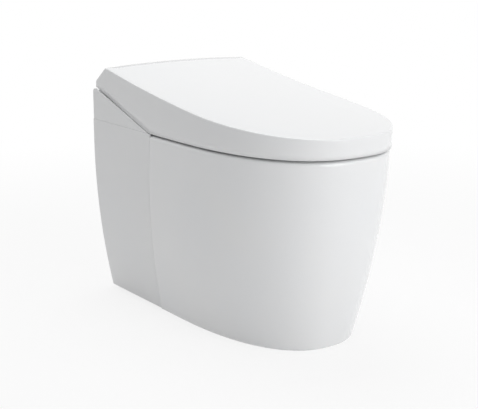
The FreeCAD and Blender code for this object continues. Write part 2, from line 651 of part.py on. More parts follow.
def rear_panel():
    """Flat panel between the side panels, with bosses to the ceramic and openings for water and power."""
    front, back = rear_panel_faces()
    gap = PANEL_WALL + SEAM_GAP
    levels = [
        REAR_PANEL_LOW + (REAR_PANEL_TOP - REAR_PANEL_LOW) * n / PANEL_CURVE_STEPS
        for n in range(PANEL_CURVE_STEPS + 1)
    ]
    curve = Part.BSplineCurve()
    curve.interpolate([Vec(body_half_width(z) - gap, front, z) for z in levels])
    right = curve.toShape()
    left = mirrored(right)
    top_right = Vec(body_half_width(REAR_PANEL_TOP) - gap, front, REAR_PANEL_TOP)
    bottom_right = Vec(body_half_width(REAR_PANEL_LOW) - gap, front, REAR_PANEL_LOW)
    top = Part.makeLine(top_right, Vec(-top_right.x, front, REAR_PANEL_TOP))
    low = Part.makeLine(bottom_right, Vec(-bottom_right.x, front, REAR_PANEL_LOW))
    face = Part.Face(Part.Wire(Part.__sortEdges__([right, top, left, low])))
    solid = face.extrude(Vec(0, REAR_PANEL_WALL, 0))
    half = REAR_BOSS / 2
    bosses = [
        box((x - half, x + half), (DECK_REAR_Y, front + OVERCUT), (z - half, z + half))
        for x in (-REAR_BOSS_X, REAR_BOSS_X)
        for z in (REAR_BOSS_LOW_Z, DECK_TOP - DECK_THICK / 2)
    ]
    through = (front - OVERCUT, back + OVERCUT)
    inlet = rod_y(VALVE_X, INLET_Z, INLET_FLANGE_RADIUS + SEAM_GAP, through)
    gland = rod_y(GLAND_X, GLAND_Z, GLAND_RADIUS + FIT_GAP, through)
    return without(joined([solid] + bosses), [inlet, gland])


# ---------------------------------------------------------------- lid
def line_height(y):
    """Height of the slanting joint between the lid and a cheek."""
    return LINE_START_Z + LINE_SLOPE * (y - SEAM_TOP_Y)


def lid_profile(inset):
    """Side view of the lid in the middle plane: bowed top, then a face round the hinge."""
    crest_z = HINGE_Z + LID_CROWN + LID_REAR_RADIUS - inset
    front = Vec(0, FRONT_Y, LID_FRONT_TOP + LID_CROWN - inset)
    crest = Vec(0, HINGE_Y, crest_z)
    chord = crest.sub(front)
    sag = chord.Length ** 2 / (8 * LID_TOP_RADIUS)
    middle = front.add(crest).multiply(0.5).sub(Vec(0, 0, sag))
    bow = Part.Arc(front, middle, crest).toShape()
    radius = LID_REAR_RADIUS - inset
    centre = Vec(0, HINGE_Y, HINGE_Z + LID_CROWN)
    diagonal = math.sqrt(0.5)
    rear = centre.add(Vec(0, radius, 0))
    quarter = Part.Arc(crest, centre.add(Vec(0, radius * diagonal, radius * diagonal)), rear)
    low = LID_LOW - 2 * LID_CROWN
    outside = Vec(0, FRONT_Y - LID_CROWN, front.z)
    return Part.Face(Part.Wire([
        Part.makeLine(outside, front),
        bow,
        quarter.toShape(),
        Part.makeLine(rear, Vec(0, rear.y, low)),
        Part.makeLine(Vec(0, rear.y, low), Vec(0, outside.y, low)),
        Part.makeLine(Vec(0, outside.y, low), outside),
    ]))


def lid_block(inset, drop):
    """Solid inside the lid's skirt and top: its plan form with draft, under a crowned top."""
    crown_radius = (LID_HALF_WIDTH ** 2 + LID_CROWN ** 2) / (2 * LID_CROWN)
    top_z = HINGE_Z + LID_REAR_RADIUS + LID_CROWN
    axis = Vec(0, 0, top_z - crown_radius)
    half_angle = math.degrees(math.asin((LID_HALF_WIDTH + LID_CROWN) / (crown_radius - top_z + LID_LOW)))
    profile = lid_profile(drop)
    profile.rotate(axis, Vec(0, 1, 0), -half_angle)
    crowned = profile.revolve(axis, Vec(0, 1, 0), 2 * half_angle)
    wires = []
    for z in (LID_LOW - LID_CROWN, top_z + LID_CROWN):
        lean = LID_DRAFT * (z - LID_LOW)
        wires.append(plan_wire(
            LID_HALF_WIDTH - inset - lean,
            CURVE_START_TOP_Y,
            FRONT_Y + inset + lean,
            REAR_Y + LID_CROWN,
            z,
        ))
    return Part.makeLoft(wires, True, True).common(crowned)


def below_lid():
    """Everything under the lid's lower edge, which rises with the slanting joint."""
    turn_y = SEAM_TOP_Y + (LID_LOW - LINE_START_Z) / LINE_SLOPE
    return side_plate(
        [(-BIG, -BIG), (-BIG, LID_LOW), (turn_y, LID_LOW), (BIG, line_height(BIG)), (BIG, -BIG)],
        (-BIG, BIG),
    )


def lid_top_edges(solid):
    """Edges round the top of the lid, where it meets the skirt."""
    found = []
    for edge in solid.Edges:
        bounds = edge.BoundBox
        behind = bounds.YMin > HINGE_Y - OVERCUT and bounds.XLength > LID_HALF_WIDTH
        if bounds.ZMin > LID_LOW + LID_CROWN and not behind:
            found.append(edge)
    return found


def lid_shell():
    """Outer lid with its skirt."""
    outer = lid_block(0.0, 0.0)
    outer = outer.makeFillet(LID_EDGE_ROUND, lid_top_edges(outer))
    return without(outer, [lid_block(LID_WALL, LID_WALL), below_lid()])


def lid_liner():
    """Inner panel against the underside of the lid's top."""
    inset = LID_WALL + LINER_PLAY
    ahead = box((-BIG, BIG), (-BIG, HINGE_Y - LID_EYE_RADIUS), (-BIG, BIG))
    underside = lid_block(0.0, inset + LINER_WALL)
    return lid_block(inset, inset).cut(underside).common(ahead)


def lid_arm():
    """Hinge arm on the right of the lid, from the liner to the drive shaft."""
    x = (LID_ARM_INNER_X, LID_ARM_INNER_X + LID_ARM_WALL)
    eye = rod_x(HINGE_Y, HINGE_Z, LID_EYE_RADIUS, x)
    start_y = HINGE_Y - 4 * LID_EYE_RADIUS
    web = side_plate(
        [
            (HINGE_Y - LID_EYE_RADIUS, HINGE_Z),
            (start_y, line_height(start_y) + 2 * LID_EYE_RADIUS),
            (start_y, BIG),
            (HINGE_Y + LID_EYE_RADIUS, BIG),
            (HINGE_Y + LID_EYE_RADIUS, HINGE_Z),
        ],
        x,
    )
    inset = LID_WALL + 2 * LINER_PLAY + LINER_WALL
    web = web.common(lid_block(0.0, inset))
    return joined([eye, web]).cut(rod_x(HINGE_Y, HINGE_Z, SHAFT_RADIUS + FIT_GAP, (-BIG, BIG)))


def lid_buffers():
    """Soft pads under the lid that meet the seat."""
    under = lid_block(0.0, LID_WALL + 2 * LINER_PLAY + LINER_WALL)
    pads = []
    for x, y in LID_BUFFERS:
        pad = rod_z(x, y, BUFFER_RADIUS, (SEAT_TOP + RUN_GAP, BIG)).common(under)
        pads += [pad, mirrored(pad)]
    return Part.makeCompound(pads)


def lid_drive_shaft():
    """Shaft across the case that turns the lid's arms."""
    return rod_x(HINGE_Y, HINGE_Z, SHAFT_RADIUS, (-SHAFT_END_X, SHAFT_END_X))


# ---------------------------------------------------------------- case
def tangent_points(small_radius, big_radius):
    """Ends of the straight line over the seat's hinge circle and the lid's hinge circle."""
    dy = HINGE_Y - SEAT_AXIS_Y
    dz = HINGE_Z - SEAT_AXIS_Z
    distance = math.hypot(dy, dz)
    angle = math.atan2(dz, dy) + math.asin((big_radius - small_radius) / distance) + math.pi / 2
    out = (math.cos(angle), math.sin(angle))
    small = Vec(0, SEAT_AXIS_Y + small_radius * out[0], SEAT_AXIS_Z + small_radius * out[1])
    big = Vec(0, HINGE_Y + big_radius * out[0], HINGE_Z + big_radius * out[1])
    return small, big, angle


def case_block(inset, half_width, bottom):
    """Case between the two hinge circles, down to a height."""
    nose = CASE_NOSE_RADIUS - inset
    drum = CASE_DRUM_RADIUS - inset
    small, big, angle = tangent_points(nose, drum)
    nose_front = Vec(0, SEAT_AXIS_Y - nose, SEAT_AXIS_Z)
    middle_angle = (angle + math.pi) / 2
    middle_y = SEAT_AXIS_Y + nose * math.cos(middle_angle)
    nose_middle = Vec(0, middle_y, SEAT_AXIS_Z + nose * math.sin(middle_angle))
    drum_rear = Vec(0, HINGE_Y + drum, HINGE_Z)
    drum_low = Vec(0, HINGE_Y - inset, HINGE_Z - math.sqrt(drum ** 2 - inset ** 2))
    foot_rear = Vec(0, drum_low.y, bottom)
    foot_front = Vec(0, nose_front.y, bottom)
    face = Part.Face(Part.Wire([
        Part.makeLine(foot_front, nose_front),
        Part.Arc(nose_front, nose_middle, small).toShape(),
        Part.makeLine(small, big),
        Part.Arc(big, drum_rear, drum_low).toShape(),
        Part.makeLine(drum_low, foot_rear),
        Part.makeLine(foot_rear, foot_front),
    ]))
    face.translate(Vec(-half_width, 0, 0))
    return face.extrude(Vec(2 * half_width, 0, 0))


def snout_block(inset, bottom):
    """Forward part of the case, between the seat's two rear legs."""
    front = SNOUT_FRONT_Y + inset
    half = SNOUT_HALF_WIDTH - inset
    rear = SNOUT_BACK_Y + CASE_WALL
    return side_plate(
        [
            (front, bottom),
            (front, SNOUT_FACE_TOP - inset),
            (SNOUT_BACK_Y, SNOUT_BACK_TOP - inset),
            (rear, SNOUT_BACK_TOP - inset),
            (rear, bottom),
        ],
        (-half, half),
    )


def case_form(inset, bottom):
    """Whole case: snout, narrow front and wide rear."""
    wide = case_block(inset, CASE_REAR_HALF_WIDTH - inset, bottom)
    behind = box((-BIG, BIG), (CASE_REAR_START_Y + inset, BIG), (-BIG, BIG))
    narrow = case_block(inset, CASE_FRONT_HALF_WIDTH - inset, bottom)
    return joined([narrow, wide.common(behind), snout_block(inset, bottom)])


def case_top():
    """Cover over all units on the rear deck, open below."""
    shell = case_form(0.0, DECK_TOP).cut(case_form(CASE_WALL, DECK_TOP - OVERCUT))
    shaft = rod_x(HINGE_Y, HINGE_Z, SHAFT_RADIUS + FIT_GAP, (-BIG, BIG))
    pins = rod_x(SEAT_AXIS_Y, SEAT_AXIS_Z, SEAT_PIN_RADIUS + FIT_GAP, (-BIG, BIG))
    face_y = (0.0, SNOUT_FRONT_Y + CASE_WALL + OVERCUT)
    guard = box((WAND_X - GUARD_HALF_WIDTH, WAND_X + GUARD_HALF_WIDTH), face_y, (GUARD_LOW, GUARD_TOP))
    outlet = box(DRYER_X, face_y, DUCT_Z)
    front = case_front_y()
    front_y = (front - OVERCUT, front + CASE_WALL + OVERCUT)
    window = box(*window_box(front_y))
    lamp = rod_y(LAMP_X, WINDOW_Z, LAMP_RADIUS, front_y)
    return without(shell, [shaft, pins, guard, outlet, window, lamp])


def case_front_y():
    """Flat front face of the case, between the seat's arms."""
    return SEAT_AXIS_Y - CASE_NOSE_RADIUS


def window_box(y):
    """Sides of the sensor window between two depths."""
    half_x, half_z = WINDOW_SIZE[0] / 2, WINDOW_SIZE[1] / 2
    return (WINDOW_X - half_x, WINDOW_X + half_x), y, (WINDOW_Z - half_z, WINDOW_Z + half_z)


def case_base():
    """Frame round the foot of the case, level with the ceramic rim."""
    outer = box((-BASE_HALF_WIDTH, BASE_HALF_WIDTH), (BASE_FRONT_Y, BASE_REAR_Y), (DECK_TOP, BASE_TOP))
    under = (DECK_TOP - OVERCUT, BASE_TOP - CASE_WALL)
    inner_x = (-BASE_HALF_WIDTH + CASE_WALL, BASE_HALF_WIDTH - CASE_WALL)
    hollow = box(inner_x, (BASE_FRONT_Y + CASE_WALL, BASE_REAR_Y - CASE_WALL), under)
    screws = [
        rod_z(side * CASE_SCREW_X, y, CASE_SCREW_RADIUS + FIT_GAP, (DECK_TOP, BASE_TOP + OVERCUT))
        for side in (-1, 1)
        for y in CASE_SCREW_YS
    ]
    return without(outer.cut(case_form(-FIT_GAP, DECK_TOP - OVERCUT)).cut(hollow), screws)


def case_screws():
    """Four screws that hold the frame to the ceramic deck."""
    screws = []
    for side in (-1, 1):
        for y in CASE_SCREW_YS:
            stem = rod_z(side * CASE_SCREW_X, y, CASE_SCREW_RADIUS, (DECK_TOP, BASE_TOP))
            head = rod_z(side * CASE_SCREW_X, y, CASE_SCREW_HEAD, (BASE_TOP, BASE_TOP + CASE_SCREW_RADIUS))
            screws.append(stem.fuse(head))
    return Part.makeCompound(screws)


def cheek():
    """Right rear cheek beside the lid, with the ledge that carries it."""
    rear = REAR_Y - CHEEK_REAR_SETBACK
    top = line_height(rear) - LINE_GAP
    tip_y = SEAM_TOP_Y + (CHEEK_BOTTOM + LINE_GAP - LINE_START_Z) / LINE_SLOPE
    outline = [(tip_y, CHEEK_BOTTOM), (rear, CHEEK_BOTTOM), (rear, top)]
    skin = side_plate(outline, (CHEEK_INNER_X, CHEEK_OUTER_X))
    top_corner = [e for e in skin.Edges if e.BoundBox.ZMin > top - LEVEL_TOLERANCE]
    skin = skin.makeFillet(CHEEK_REAR_ROUND, top_corner)
    drop = LINE_GAP + LEDGE_DROP
    ledge_x = (LEDGE_INNER_X, CHEEK_INNER_X)
    start_y = SEAM_TOP_Y + (BASE_TOP + drop + CASE_WALL - LINE_START_Z) / LINE_SLOPE
    top_line = [(start_y, line_height(start_y) - drop), (LEDGE_REAR_Y, line_height(LEDGE_REAR_Y) - drop)]
    block = side_plate([(start_y, BASE_TOP)] + top_line + [(LEDGE_REAR_Y, BASE_TOP)], ledge_x)
    inner_line = [(y, z - CASE_WALL) for y, z in top_line]
    inner = side_plate(
        [(start_y, BASE_TOP - OVERCUT)] + inner_line + [(LEDGE_REAR_Y, BASE_TOP - OVERCUT)],
        (LEDGE_INNER_X + CASE_WALL, CHEEK_INNER_X - CASE_WALL),
    )
    inner = inner.common(box((-BIG, BIG), (start_y + CASE_WALL, LEDGE_REAR_Y - CASE_WALL), (-BIG, BIG)))
    return joined([skin, block.cut(inner)])


# ---------------------------------------------------------------- seat
def seat_plan(inset, z):
    """Closed plan section of the seat's outer edge."""
    half = LID_HALF_WIDTH - SEAT_SIDE_GAP - inset
    return plan_wire(half, CURVE_START_TOP_Y, FRONT_Y + SEAT_SIDE_GAP + inset, SEAT_REAR_Y - inset, z)


def seat_ring(inset, z):
    """Seat ring between two heights, with its hole and the notch at the rear."""
    face = Part.Face(seat_plan(inset, z[0]))
    ring = face.extrude(Vec(0, 0, z[1] - z[0]))
    centre = Vec(0, SEAT_HOLE_CENTRE_Y, z[0] - OVERCUT)
    hole = oval(centre, SEAT_HOLE_HALF_LENGTH + inset, SEAT_HOLE_HALF_WIDTH + inset)
    opening = Part.Face(hole).extrude(Vec(0, 0, z[1] - z[0] + 2 * OVERCUT))
    notch_half = SEAT_NOTCH_HALF_WIDTH + inset
    notch = box((-notch_half, notch_half), (SEAT_BRIDGE_Y - inset, BIG), (z[0] - OVERCUT, z[1] + OVERCUT))
    return without(ring, [opening, notch])


def seat_top():
    """Upper shell of the seat, hollow below."""
    ring = seat_ring(0.0, (SEAT_SPLIT, SEAT_TOP))
    top_edges = [e for e in ring.Edges if e.BoundBox.ZMin > SEAT_TOP - LEVEL_TOLERANCE]
    ring = ring.makeFillet(SEAT_EDGE_ROUND, top_edges)
    return ring.cut(seat_ring(SEAT_WALL, (SEAT_SPLIT - OVERCUT, SEAT_TOP - SEAT_WALL)))


def seat_heater():
    """Heating foil bonded under the seat's upper shell."""
    return seat_ring(HEATER_INSET, (SEAT_TOP - SEAT_WALL - HEATER_THICK, SEAT_TOP - SEAT_WALL))


def seat_base():
    """Lower tray of the seat with its two hinge arms."""
    ring = seat_ring(SEAT_BASE_INSET, (SEAT_LOW, SEAT_SPLIT))
    x = (SEAT_ARM_INNER_X, SEAT_ARM_OUTER_X)
    start = SEAT_REAR_Y - SEAT_HUB_RADIUS
    behind = SEAT_REAR_Y + RUN_GAP
    web = side_plate(
        [
            (start, SEAT_LOW),
            (behind, SEAT_LOW),
            (SEAT_AXIS_Y, SEAT_AXIS_Z - SEAT_HUB_RADIUS),
            (SEAT_AXIS_Y, SEAT_AXIS_Z + SEAT_HUB_RADIUS),
            (behind, SEAT_TOP),
            (behind, SEAT_SPLIT),
            (start, SEAT_SPLIT),
        ],
        x,
    )
    hub = rod_x(SEAT_AXIS_Y, SEAT_AXIS_Z, SEAT_HUB_RADIUS, x)
    arm = joined([web, hub])
    pin = rod_x(SEAT_AXIS_Y, SEAT_AXIS_Z, SEAT_PIN_RADIUS, (-BIG, BIG))
    return joined([ring, arm, mirrored(arm)]).cut(pin)


def seat_pins():
    """Two hinge pins, pressed into the seat's arms."""
    return pair(rod_x(SEAT_AXIS_Y, SEAT_AXIS_Z, SEAT_PIN_RADIUS, (SEAT_PIN_INNER_X, SEAT_PIN_OUTER_X)))


def seat_buffers():
    """Soft pads under the seat that meet the ceramic rim."""
    width, length = SEAT_BUFFER_SIZE
    pads = []
    for x, y in SEAT_BUFFERS:
        pad_z = (RIM_TOP + RUN_GAP, SEAT_LOW)
        pad = box((x - width / 2, x + width / 2), (y - length / 2, y + length / 2), pad_z)
        pads += [pad, mirrored(pad)]
    return Part.makeCompound(pads)


def seat_switch():
    """Spring plunger in the rim that the seat presses when someone sits down."""
    return rod_z(-SWITCH_X, SWITCH_Y, SWITCH_RADIUS, (RIM_TOP - SWITCH_STEM, SEAT_LOW - RUN_GAP))


# ---------------------------------------------------------------- washing wand
def to_wand(shape):
    """Turns a shape made along -Y with its tip at the origin into the wand's place."""
    shape.rotate(Vec(0, 0, 0), Vec(1, 0, 0), WAND_SLOPE)
    shape.translate(Vec(0, WAND_TIP_Y, WAND_TIP_Z))
    return shape


def wand_outer():
    """Outer stage of the wand, a tube that slides in the guide."""
    tube = rod_y(WAND_X, 0.0, WAND_RADIUS, (WAND_TIP_LENGTH, WAND_TIP_LENGTH + WAND_LENGTH))
    bore_y = (0.0, WAND_TIP_LENGTH + WAND_LENGTH - WAND_END_WALL)
    bore = rod_y(WAND_X, 0.0, INNER_WAND_RADIUS + FIT_GAP, bore_y)
    return to_wand(tube.cut(bore))


def wand_inner():
    """Inner stage of the wand, which slides in the outer one."""
    return to_wand(rod_y(WAND_X, 0.0, INNER_WAND_RADIUS, (WAND_TIP_LENGTH - RUN_GAP, INNER_WAND_LENGTH)))


def wand_tip():
    """Spray head on the inner stage, with its spray holes on top."""
    head = rod_y(WAND_X, 0.0, WAND_RADIUS, (0.0, WAND_TIP_LENGTH - RUN_GAP))
    z = (WAND_RADIUS / 2, WAND_RADIUS + OVERCUT)
    holes = [
        rod_z(WAND_X + side, WAND_TIP_LENGTH / 2, SPRAY_HOLE_RADIUS, z)
        for side in (-INNER_WAND_RADIUS / 2, 0.0, INNER_WAND_RADIUS / 2)
    ]
    return to_wand(without(head, holes))


def nozzle_guide():
    """Slanting guide that carries the wand, on a foot that stands on the deck."""
    half = GUIDE_SIZE / 2
    length = (GUIDE_SETBACK, GUIDE_SETBACK + GUIDE_LENGTH)
    block = box((WAND_X - half, WAND_X + half), length, (-half, half))
    bore = rod_y(WAND_X, 0.0, WAND_RADIUS + FIT_GAP, (-CUTTER_HALF, CUTTER_HALF))
    block = to_wand(block)
    bore = to_wand(bore)
    foot_y = WAND_TIP_Y + GUIDE_SETBACK + GUIDE_LENGTH / 2
    foot_z = (DECK_TOP, WAND_TIP_Z + GUIDE_LENGTH / 2)
    foot = box((WAND_X - half, WAND_X + half), (foot_y, foot_y + half), foot_z)
    above = box((-BIG, BIG), (-BIG, BIG), (DECK_TOP, BIG))
    return joined([block, foot]).common(above).cut(bore)


def nozzle_motor():
    """Motor beside the guide that drives the wand."""
    side = WAND_X - GUIDE_SIZE / 2
    y = WAND_TIP_Y + GUIDE_SETBACK + GUIDE_LENGTH - MOTOR_RADIUS
    z = WAND_TIP_Z + GUIDE_LENGTH / 2
    return rod_x(y, z, MOTOR_RADIUS, (side - MOTOR_LENGTH, side))


def nozzle_guard():
    """Small bezel in the snout's face with the hole that the wand comes out of."""
    plate = box(
        (WAND_X - GUARD_HALF_WIDTH, WAND_X + GUARD_HALF_WIDTH),
        (SNOUT_FRONT_Y - GUARD_THICK, SNOUT_FRONT_Y + CASE_WALL),
        (GUARD_LOW, GUARD_TOP),
    )
    hole = to_wand(rod_y(WAND_X, 0.0, GUARD_HOLE, (-CUTTER_HALF, CUTTER_HALF)))
    return plate.cut(hole)


# ---------------------------------------------------------------- dryer
def duct_block(start_y):
    """Space that the air duct fills, from a depth to its rear end."""
    return box(
        (DRYER_X[0] - DUCT_WALL, DRYER_X[1] + DUCT_WALL),
        (start_y, DUCT_REAR_Y),
        (DUCT_Z[0] - DUCT_WALL, DUCT_Z[1] + DUCT_WALL),
    )


def dryer_duct():
    """Flat air duct from the fan to the snout's face."""
    return duct_block(SNOUT_FRONT_Y + CASE_WALL).cut(box(DRYER_X, (0.0, BIG), DUCT_Z))


def dryer_heater():
    """Heating plates inside the duct."""
    pitch = (DUCT_Z[1] - DUCT_Z[0]) / (HEATER_PLATES + 1)
    frame_x = (DRYER_X[0], DRYER_X[0] + DUCT_WALL)
    frames = [box(frame_x, HEATER_Y, DUCT_Z)]
    heights = [DUCT_Z[0] + pitch * n for n in range(1, HEATER_PLATES + 1)]
    plates = [box(DRYER_X, HEATER_Y, (z, z + FAN_WALL / 3)) for z in heights]
    return joined(frames + plates)


def dryer_flap():
    """Flap over the dryer's outlet, hung from its top edge."""
    x = (DRYER_X[0] + FLAP_SIDE_GAP, DRYER_X[1] - FLAP_SIDE_GAP)
    y = SNOUT_FRONT_Y + FLAP_THICK / 2
    plate = box(x, (y - FLAP_THICK / 2, y + FLAP_THICK / 2), (DUCT_Z[0] + FLAP_SIDE_GAP, FLAP_HINGE_Z))
    return joined([plate, rod_x(y, FLAP_HINGE_Z, FLAP_HINGE_RADIUS, x)])


def fan_hollow(x, y, radius, z):
    """Round space inside a fan casing."""
    return rod_z(x, y, radius - FAN_WALL, (z[0] + FAN_WALL, z[1] - FAN_WALL))


def fan_shaft(x, y, z):
    """Fixed shaft of a fan, with the step that carries its wheel."""
    low = z[0] + FAN_WALL / 2
    shaft = rod_z(x, y, FAN_SHAFT_RADIUS, (low, z[1] - 2 * FAN_WALL))
    step = rod_z(x, y, 2 * FAN_SHAFT_RADIUS, (low, z[0] + 2 * FAN_WALL))
    return shaft.fuse(step)


def dryer_housing():
    """Casing of the dryer's fan."""
    outlet_y = (FAN_Y - FAN_RADIUS - OVERCUT, FAN_Y - FAN_RADIUS / 2)
    outlet = box(DRYER_X, outlet_y, (DUCT_Z[0] + FAN_WALL, DUCT_Z[1]))
    inlet = rod_z(FAN_X, FAN_Y, FAN_RADIUS / 3, (FAN_Z[1] - FAN_WALL - OVERCUT, FAN_Z[1] + OVERCUT))
    casing = rod_z(FAN_X, FAN_Y, FAN_RADIUS, FAN_Z)
    hollow = fan_hollow(FAN_X, FAN_Y, FAN_RADIUS, FAN_Z)
    casing = without(casing, [hollow, outlet, inlet, duct_block(SNOUT_FRONT_Y)])
    return joined([casing, fan_shaft(FAN_X, FAN_Y, FAN_Z)])


def blade_wheel(x, y, radius, z, blades, bore):
    """Fan wheel with upright blades round a hub."""
    hub = rod_z(x, y, bore + FAN_WALL, z)
    disc = rod_z(x, y, radius, (z[0], z[0] + FAN_WALL / 2))
    pieces = [hub, disc]
    for n in range(blades):
        blade = box((x + bore + FAN_WALL / 2, x + radius), (y, y + FAN_WALL / 2), z)
        blade.rotate(Vec(x, y, 0), Vec(0, 0, 1), 4 * QUARTER_TURN / blades * n)
        pieces.append(blade)
    wheel = joined(pieces)
    return wheel.cut(rod_z(x, y, bore, (z[0] - OVERCUT, z[1] + OVERCUT)))


def dryer_impeller():
    """Wheel of the dryer's fan, on the casing's fixed shaft."""
    z = (FAN_Z[0] + 2 * FAN_WALL + RUN_GAP, FAN_Z[1] - 2 * FAN_WALL)
    return blade_wheel(FAN_X, FAN_Y, FAN_RADIUS - 2 * FAN_WALL, z, FAN_BLADES, FAN_SHAFT_RADIUS + FIT_GAP)


def deodoriser_housing():
    """Casing of the small fan that draws air from the bowl through the filter."""
    half = DEODORISER_RADIUS / 2
    opening = box(
        (DEODORISER_X - half, DEODORISER_X + half),
        (DEODORISER_Y + half, CARTRIDGE_Y[0]),
        (DEODORISER_Z[0] + 2 * FAN_WALL, DEODORISER_Z[1] - 2 * FAN_WALL),
    )
    casing = rod_z(DEODORISER_X, DEODORISER_Y, DEODORISER_RADIUS, DEODORISER_Z)
    neck_x = (DEODORISER_X - half - FAN_WALL, DEODORISER_X + half + FAN_WALL)
    neck = box(neck_x, (DEODORISER_Y + half, CARTRIDGE_Y[0]), DEODORISER_Z)
    hollow = fan_hollow(DEODORISER_X, DEODORISER_Y, DEODORISER_RADIUS, DEODORISER_Z)
    shaft = fan_shaft(DEODORISER_X, DEODORISER_Y, DEODORISER_Z)
    return joined([without(joined([casing, neck]), [hollow, opening]), shaft])


def deodoriser_impeller():
    """Wheel of the deodoriser's fan."""
    z = (DEODORISER_Z[0] + 2 * FAN_WALL + RUN_GAP, DEODORISER_Z[1] - 2 * FAN_WALL)
    radius = DEODORISER_RADIUS - 2 * FAN_WALL
    bore = FAN_SHAFT_RADIUS + FIT_GAP
    return blade_wheel(DEODORISER_X, DEODORISER_Y, radius, z, DEODORISER_BLADES, bore)


def deodoriser_cartridge():
    """Filter cartridge behind the deodoriser's fan."""
    pitch = (CARTRIDGE_X[1] - CARTRIDGE_X[0]) / (CARTRIDGE_SLOTS + 1)
    slot_y = (CARTRIDGE_Y[1] - FAN_WALL, CARTRIDGE_Y[1] + OVERCUT)
    slot_z = (CARTRIDGE_Z[0] + CARTRIDGE_MARGIN, CARTRIDGE_Z[1] - CARTRIDGE_MARGIN)
    middles = [CARTRIDGE_X[0] + pitch * n for n in range(1, CARTRIDGE_SLOTS + 1)]
    slots = [box((x - CARTRIDGE_SLOT_HALF, x + CARTRIDGE_SLOT_HALF), slot_y, slot_z) for x in middles]
    return without(box(CARTRIDGE_X, CARTRIDGE_Y, CARTRIDGE_Z), slots)


# ---------------------------------------------------------------- other units
def heat_exchanger():
    """Instant water heater."""
    return open_box(EXCHANGER_X, EXCHANGER_Y, EXCHANGER_Z, FAN_WALL)


def control_board():
    """Circuit board with its larger components, on posts that stand on the deck."""
    board = box(BOARD_X, BOARD_Y, BOARD_Z)
    length, width, height = CHIP_SIZE
    pitch = (BOARD_X[1] - BOARD_X[0]) / (CHIP_COUNT + 1)
    y = (BOARD_Y[0] + CHIP_START_Y, BOARD_Y[0] + CHIP_START_Y + width)
    z = (BOARD_Z[1] - CHIP_SINK, BOARD_Z[1] + height)
    middles = [BOARD_X[0] + pitch * n for n in range(1, CHIP_COUNT + 1)]
    chips = [box((x - length / 2, x + length / 2), y, z) for x in middles]
    return joined([board] + chips)


def board_cover():
    """Splash cover over the circuit board, with the posts that carry both."""
    x = (BOARD_X[0] - COVER_GAP, BOARD_X[1] + COVER_GAP)
    y = (BOARD_Y[0] - COVER_GAP, BOARD_Y[1] + COVER_GAP)
    outer = box(x, y, (BOARD_Z[0] - FAN_WALL, COVER_TOP))
    inner_x = (x[0] + FAN_WALL, x[1] - FAN_WALL)
    inner = box(inner_x, (y[0] + FAN_WALL, y[1] - FAN_WALL), (BOARD_Z[0], COVER_TOP - FAN_WALL))
    posts = [
        rod_z(px, py, BOARD_POST_RADIUS, (DECK_TOP, BOARD_Z[0] - FAN_WALL / 2))
        for px in (x[0] + BOARD_POST_RADIUS, x[1] - BOARD_POST_RADIUS)
        for py in (y[0] + BOARD_POST_RADIUS, y[1] - BOARD_POST_RADIUS)
    ]
    return joined([outer.cut(inner)] + posts)


def lid_drive_unit():
    """Geared motor round the lid's shaft, on a foot that stands on the deck."""
    body = rod_x(HINGE_Y, HINGE_Z, DRIVE_LID_RADIUS, DRIVE_LID_X)
    foot_half = DRIVE_LID_RADIUS / 2
    rear = HINGE_Y - CASE_WALL - RUN_GAP
    foot = box(DRIVE_LID_X, (rear - foot_half, rear), (DECK_TOP, HINGE_Z - foot_half))
    motor = rod_x(HINGE_Y, HINGE_Z, DRIVE_MOTOR_RADIUS, (DRIVE_LID_X[0] - 2 * foot_half, DRIVE_LID_X[0]))
    bore = rod_x(HINGE_Y, HINGE_Z, SHAFT_RADIUS + FIT_GAP, (-BIG, BIG))
    return joined([body, foot, motor]).cut(bore)


def lid_shaft_bearing():
    """Plain bearing for the far end of the lid's shaft."""
    x = (-CASE_REAR_HALF_WIDTH + CASE_WALL, -CASE_REAR_HALF_WIDTH + CASE_WALL + 2 * BEARING_WALL)
    body = rod_x(HINGE_Y, HINGE_Z, SHAFT_RADIUS + BEARING_WALL, x)
    rear = HINGE_Y - CASE_WALL - RUN_GAP
    foot = box(x, (rear - DRIVE_LID_RADIUS / 2, rear), (DECK_TOP, HINGE_Z))
    return joined([body, foot]).cut(rod_x(HINGE_Y, HINGE_Z, SHAFT_RADIUS + FIT_GAP, (-BIG, BIG)))


def seat_drive_unit():
    """Geared motor round the seat's right hinge pin, on a foot."""
    body = rod_x(SEAT_AXIS_Y, SEAT_AXIS_Z, DRIVE_SEAT_RADIUS, DRIVE_SEAT_X)
    foot_half = DRIVE_SEAT_RADIUS / 2
    foot = box(DRIVE_SEAT_X, (SEAT_AXIS_Y - foot_half, SEAT_AXIS_Y + foot_half), (DECK_TOP, SEAT_AXIS_Z))
    socket = rod_x(SEAT_AXIS_Y, SEAT_AXIS_Z, SEAT_PIN_RADIUS + FIT_GAP, (SEAT_PIN_INNER_X - RUN_GAP, BIG))
    return joined([body, foot]).cut(socket)


def seat_bearing():
    """Bearing block for the seat's left hinge pin."""
    x = (-DRIVE_SEAT_X[1], -SEAT_PIN_INNER_X + BEARING_WALL)
    foot_half = SEAT_PIN_RADIUS + BEARING_WALL
    body = rod_x(SEAT_AXIS_Y, SEAT_AXIS_Z, foot_half, x)
    foot = box(x, (SEAT_AXIS_Y - foot_half, SEAT_AXIS_Y + foot_half), (DECK_TOP, SEAT_AXIS_Z))
    socket = rod_x(SEAT_AXIS_Y, SEAT_AXIS_Z, SEAT_PIN_RADIUS + FIT_GAP, (-BIG, -SEAT_PIN_INNER_X + RUN_GAP))
    return joined([body, foot]).cut(socket)


def sensor_window():
    """Dark window of the body sensor in the case's front face."""
    front = case_front_y()
    return box(*window_box((front, front + CASE_WALL)))


def status_lamp():
    """Round lens of the status lamp in the case's front face."""
    front = case_front_y()
    return rod_y(LAMP_X, WINDOW_Z, LAMP_RADIUS, (front, front + CASE_WALL))


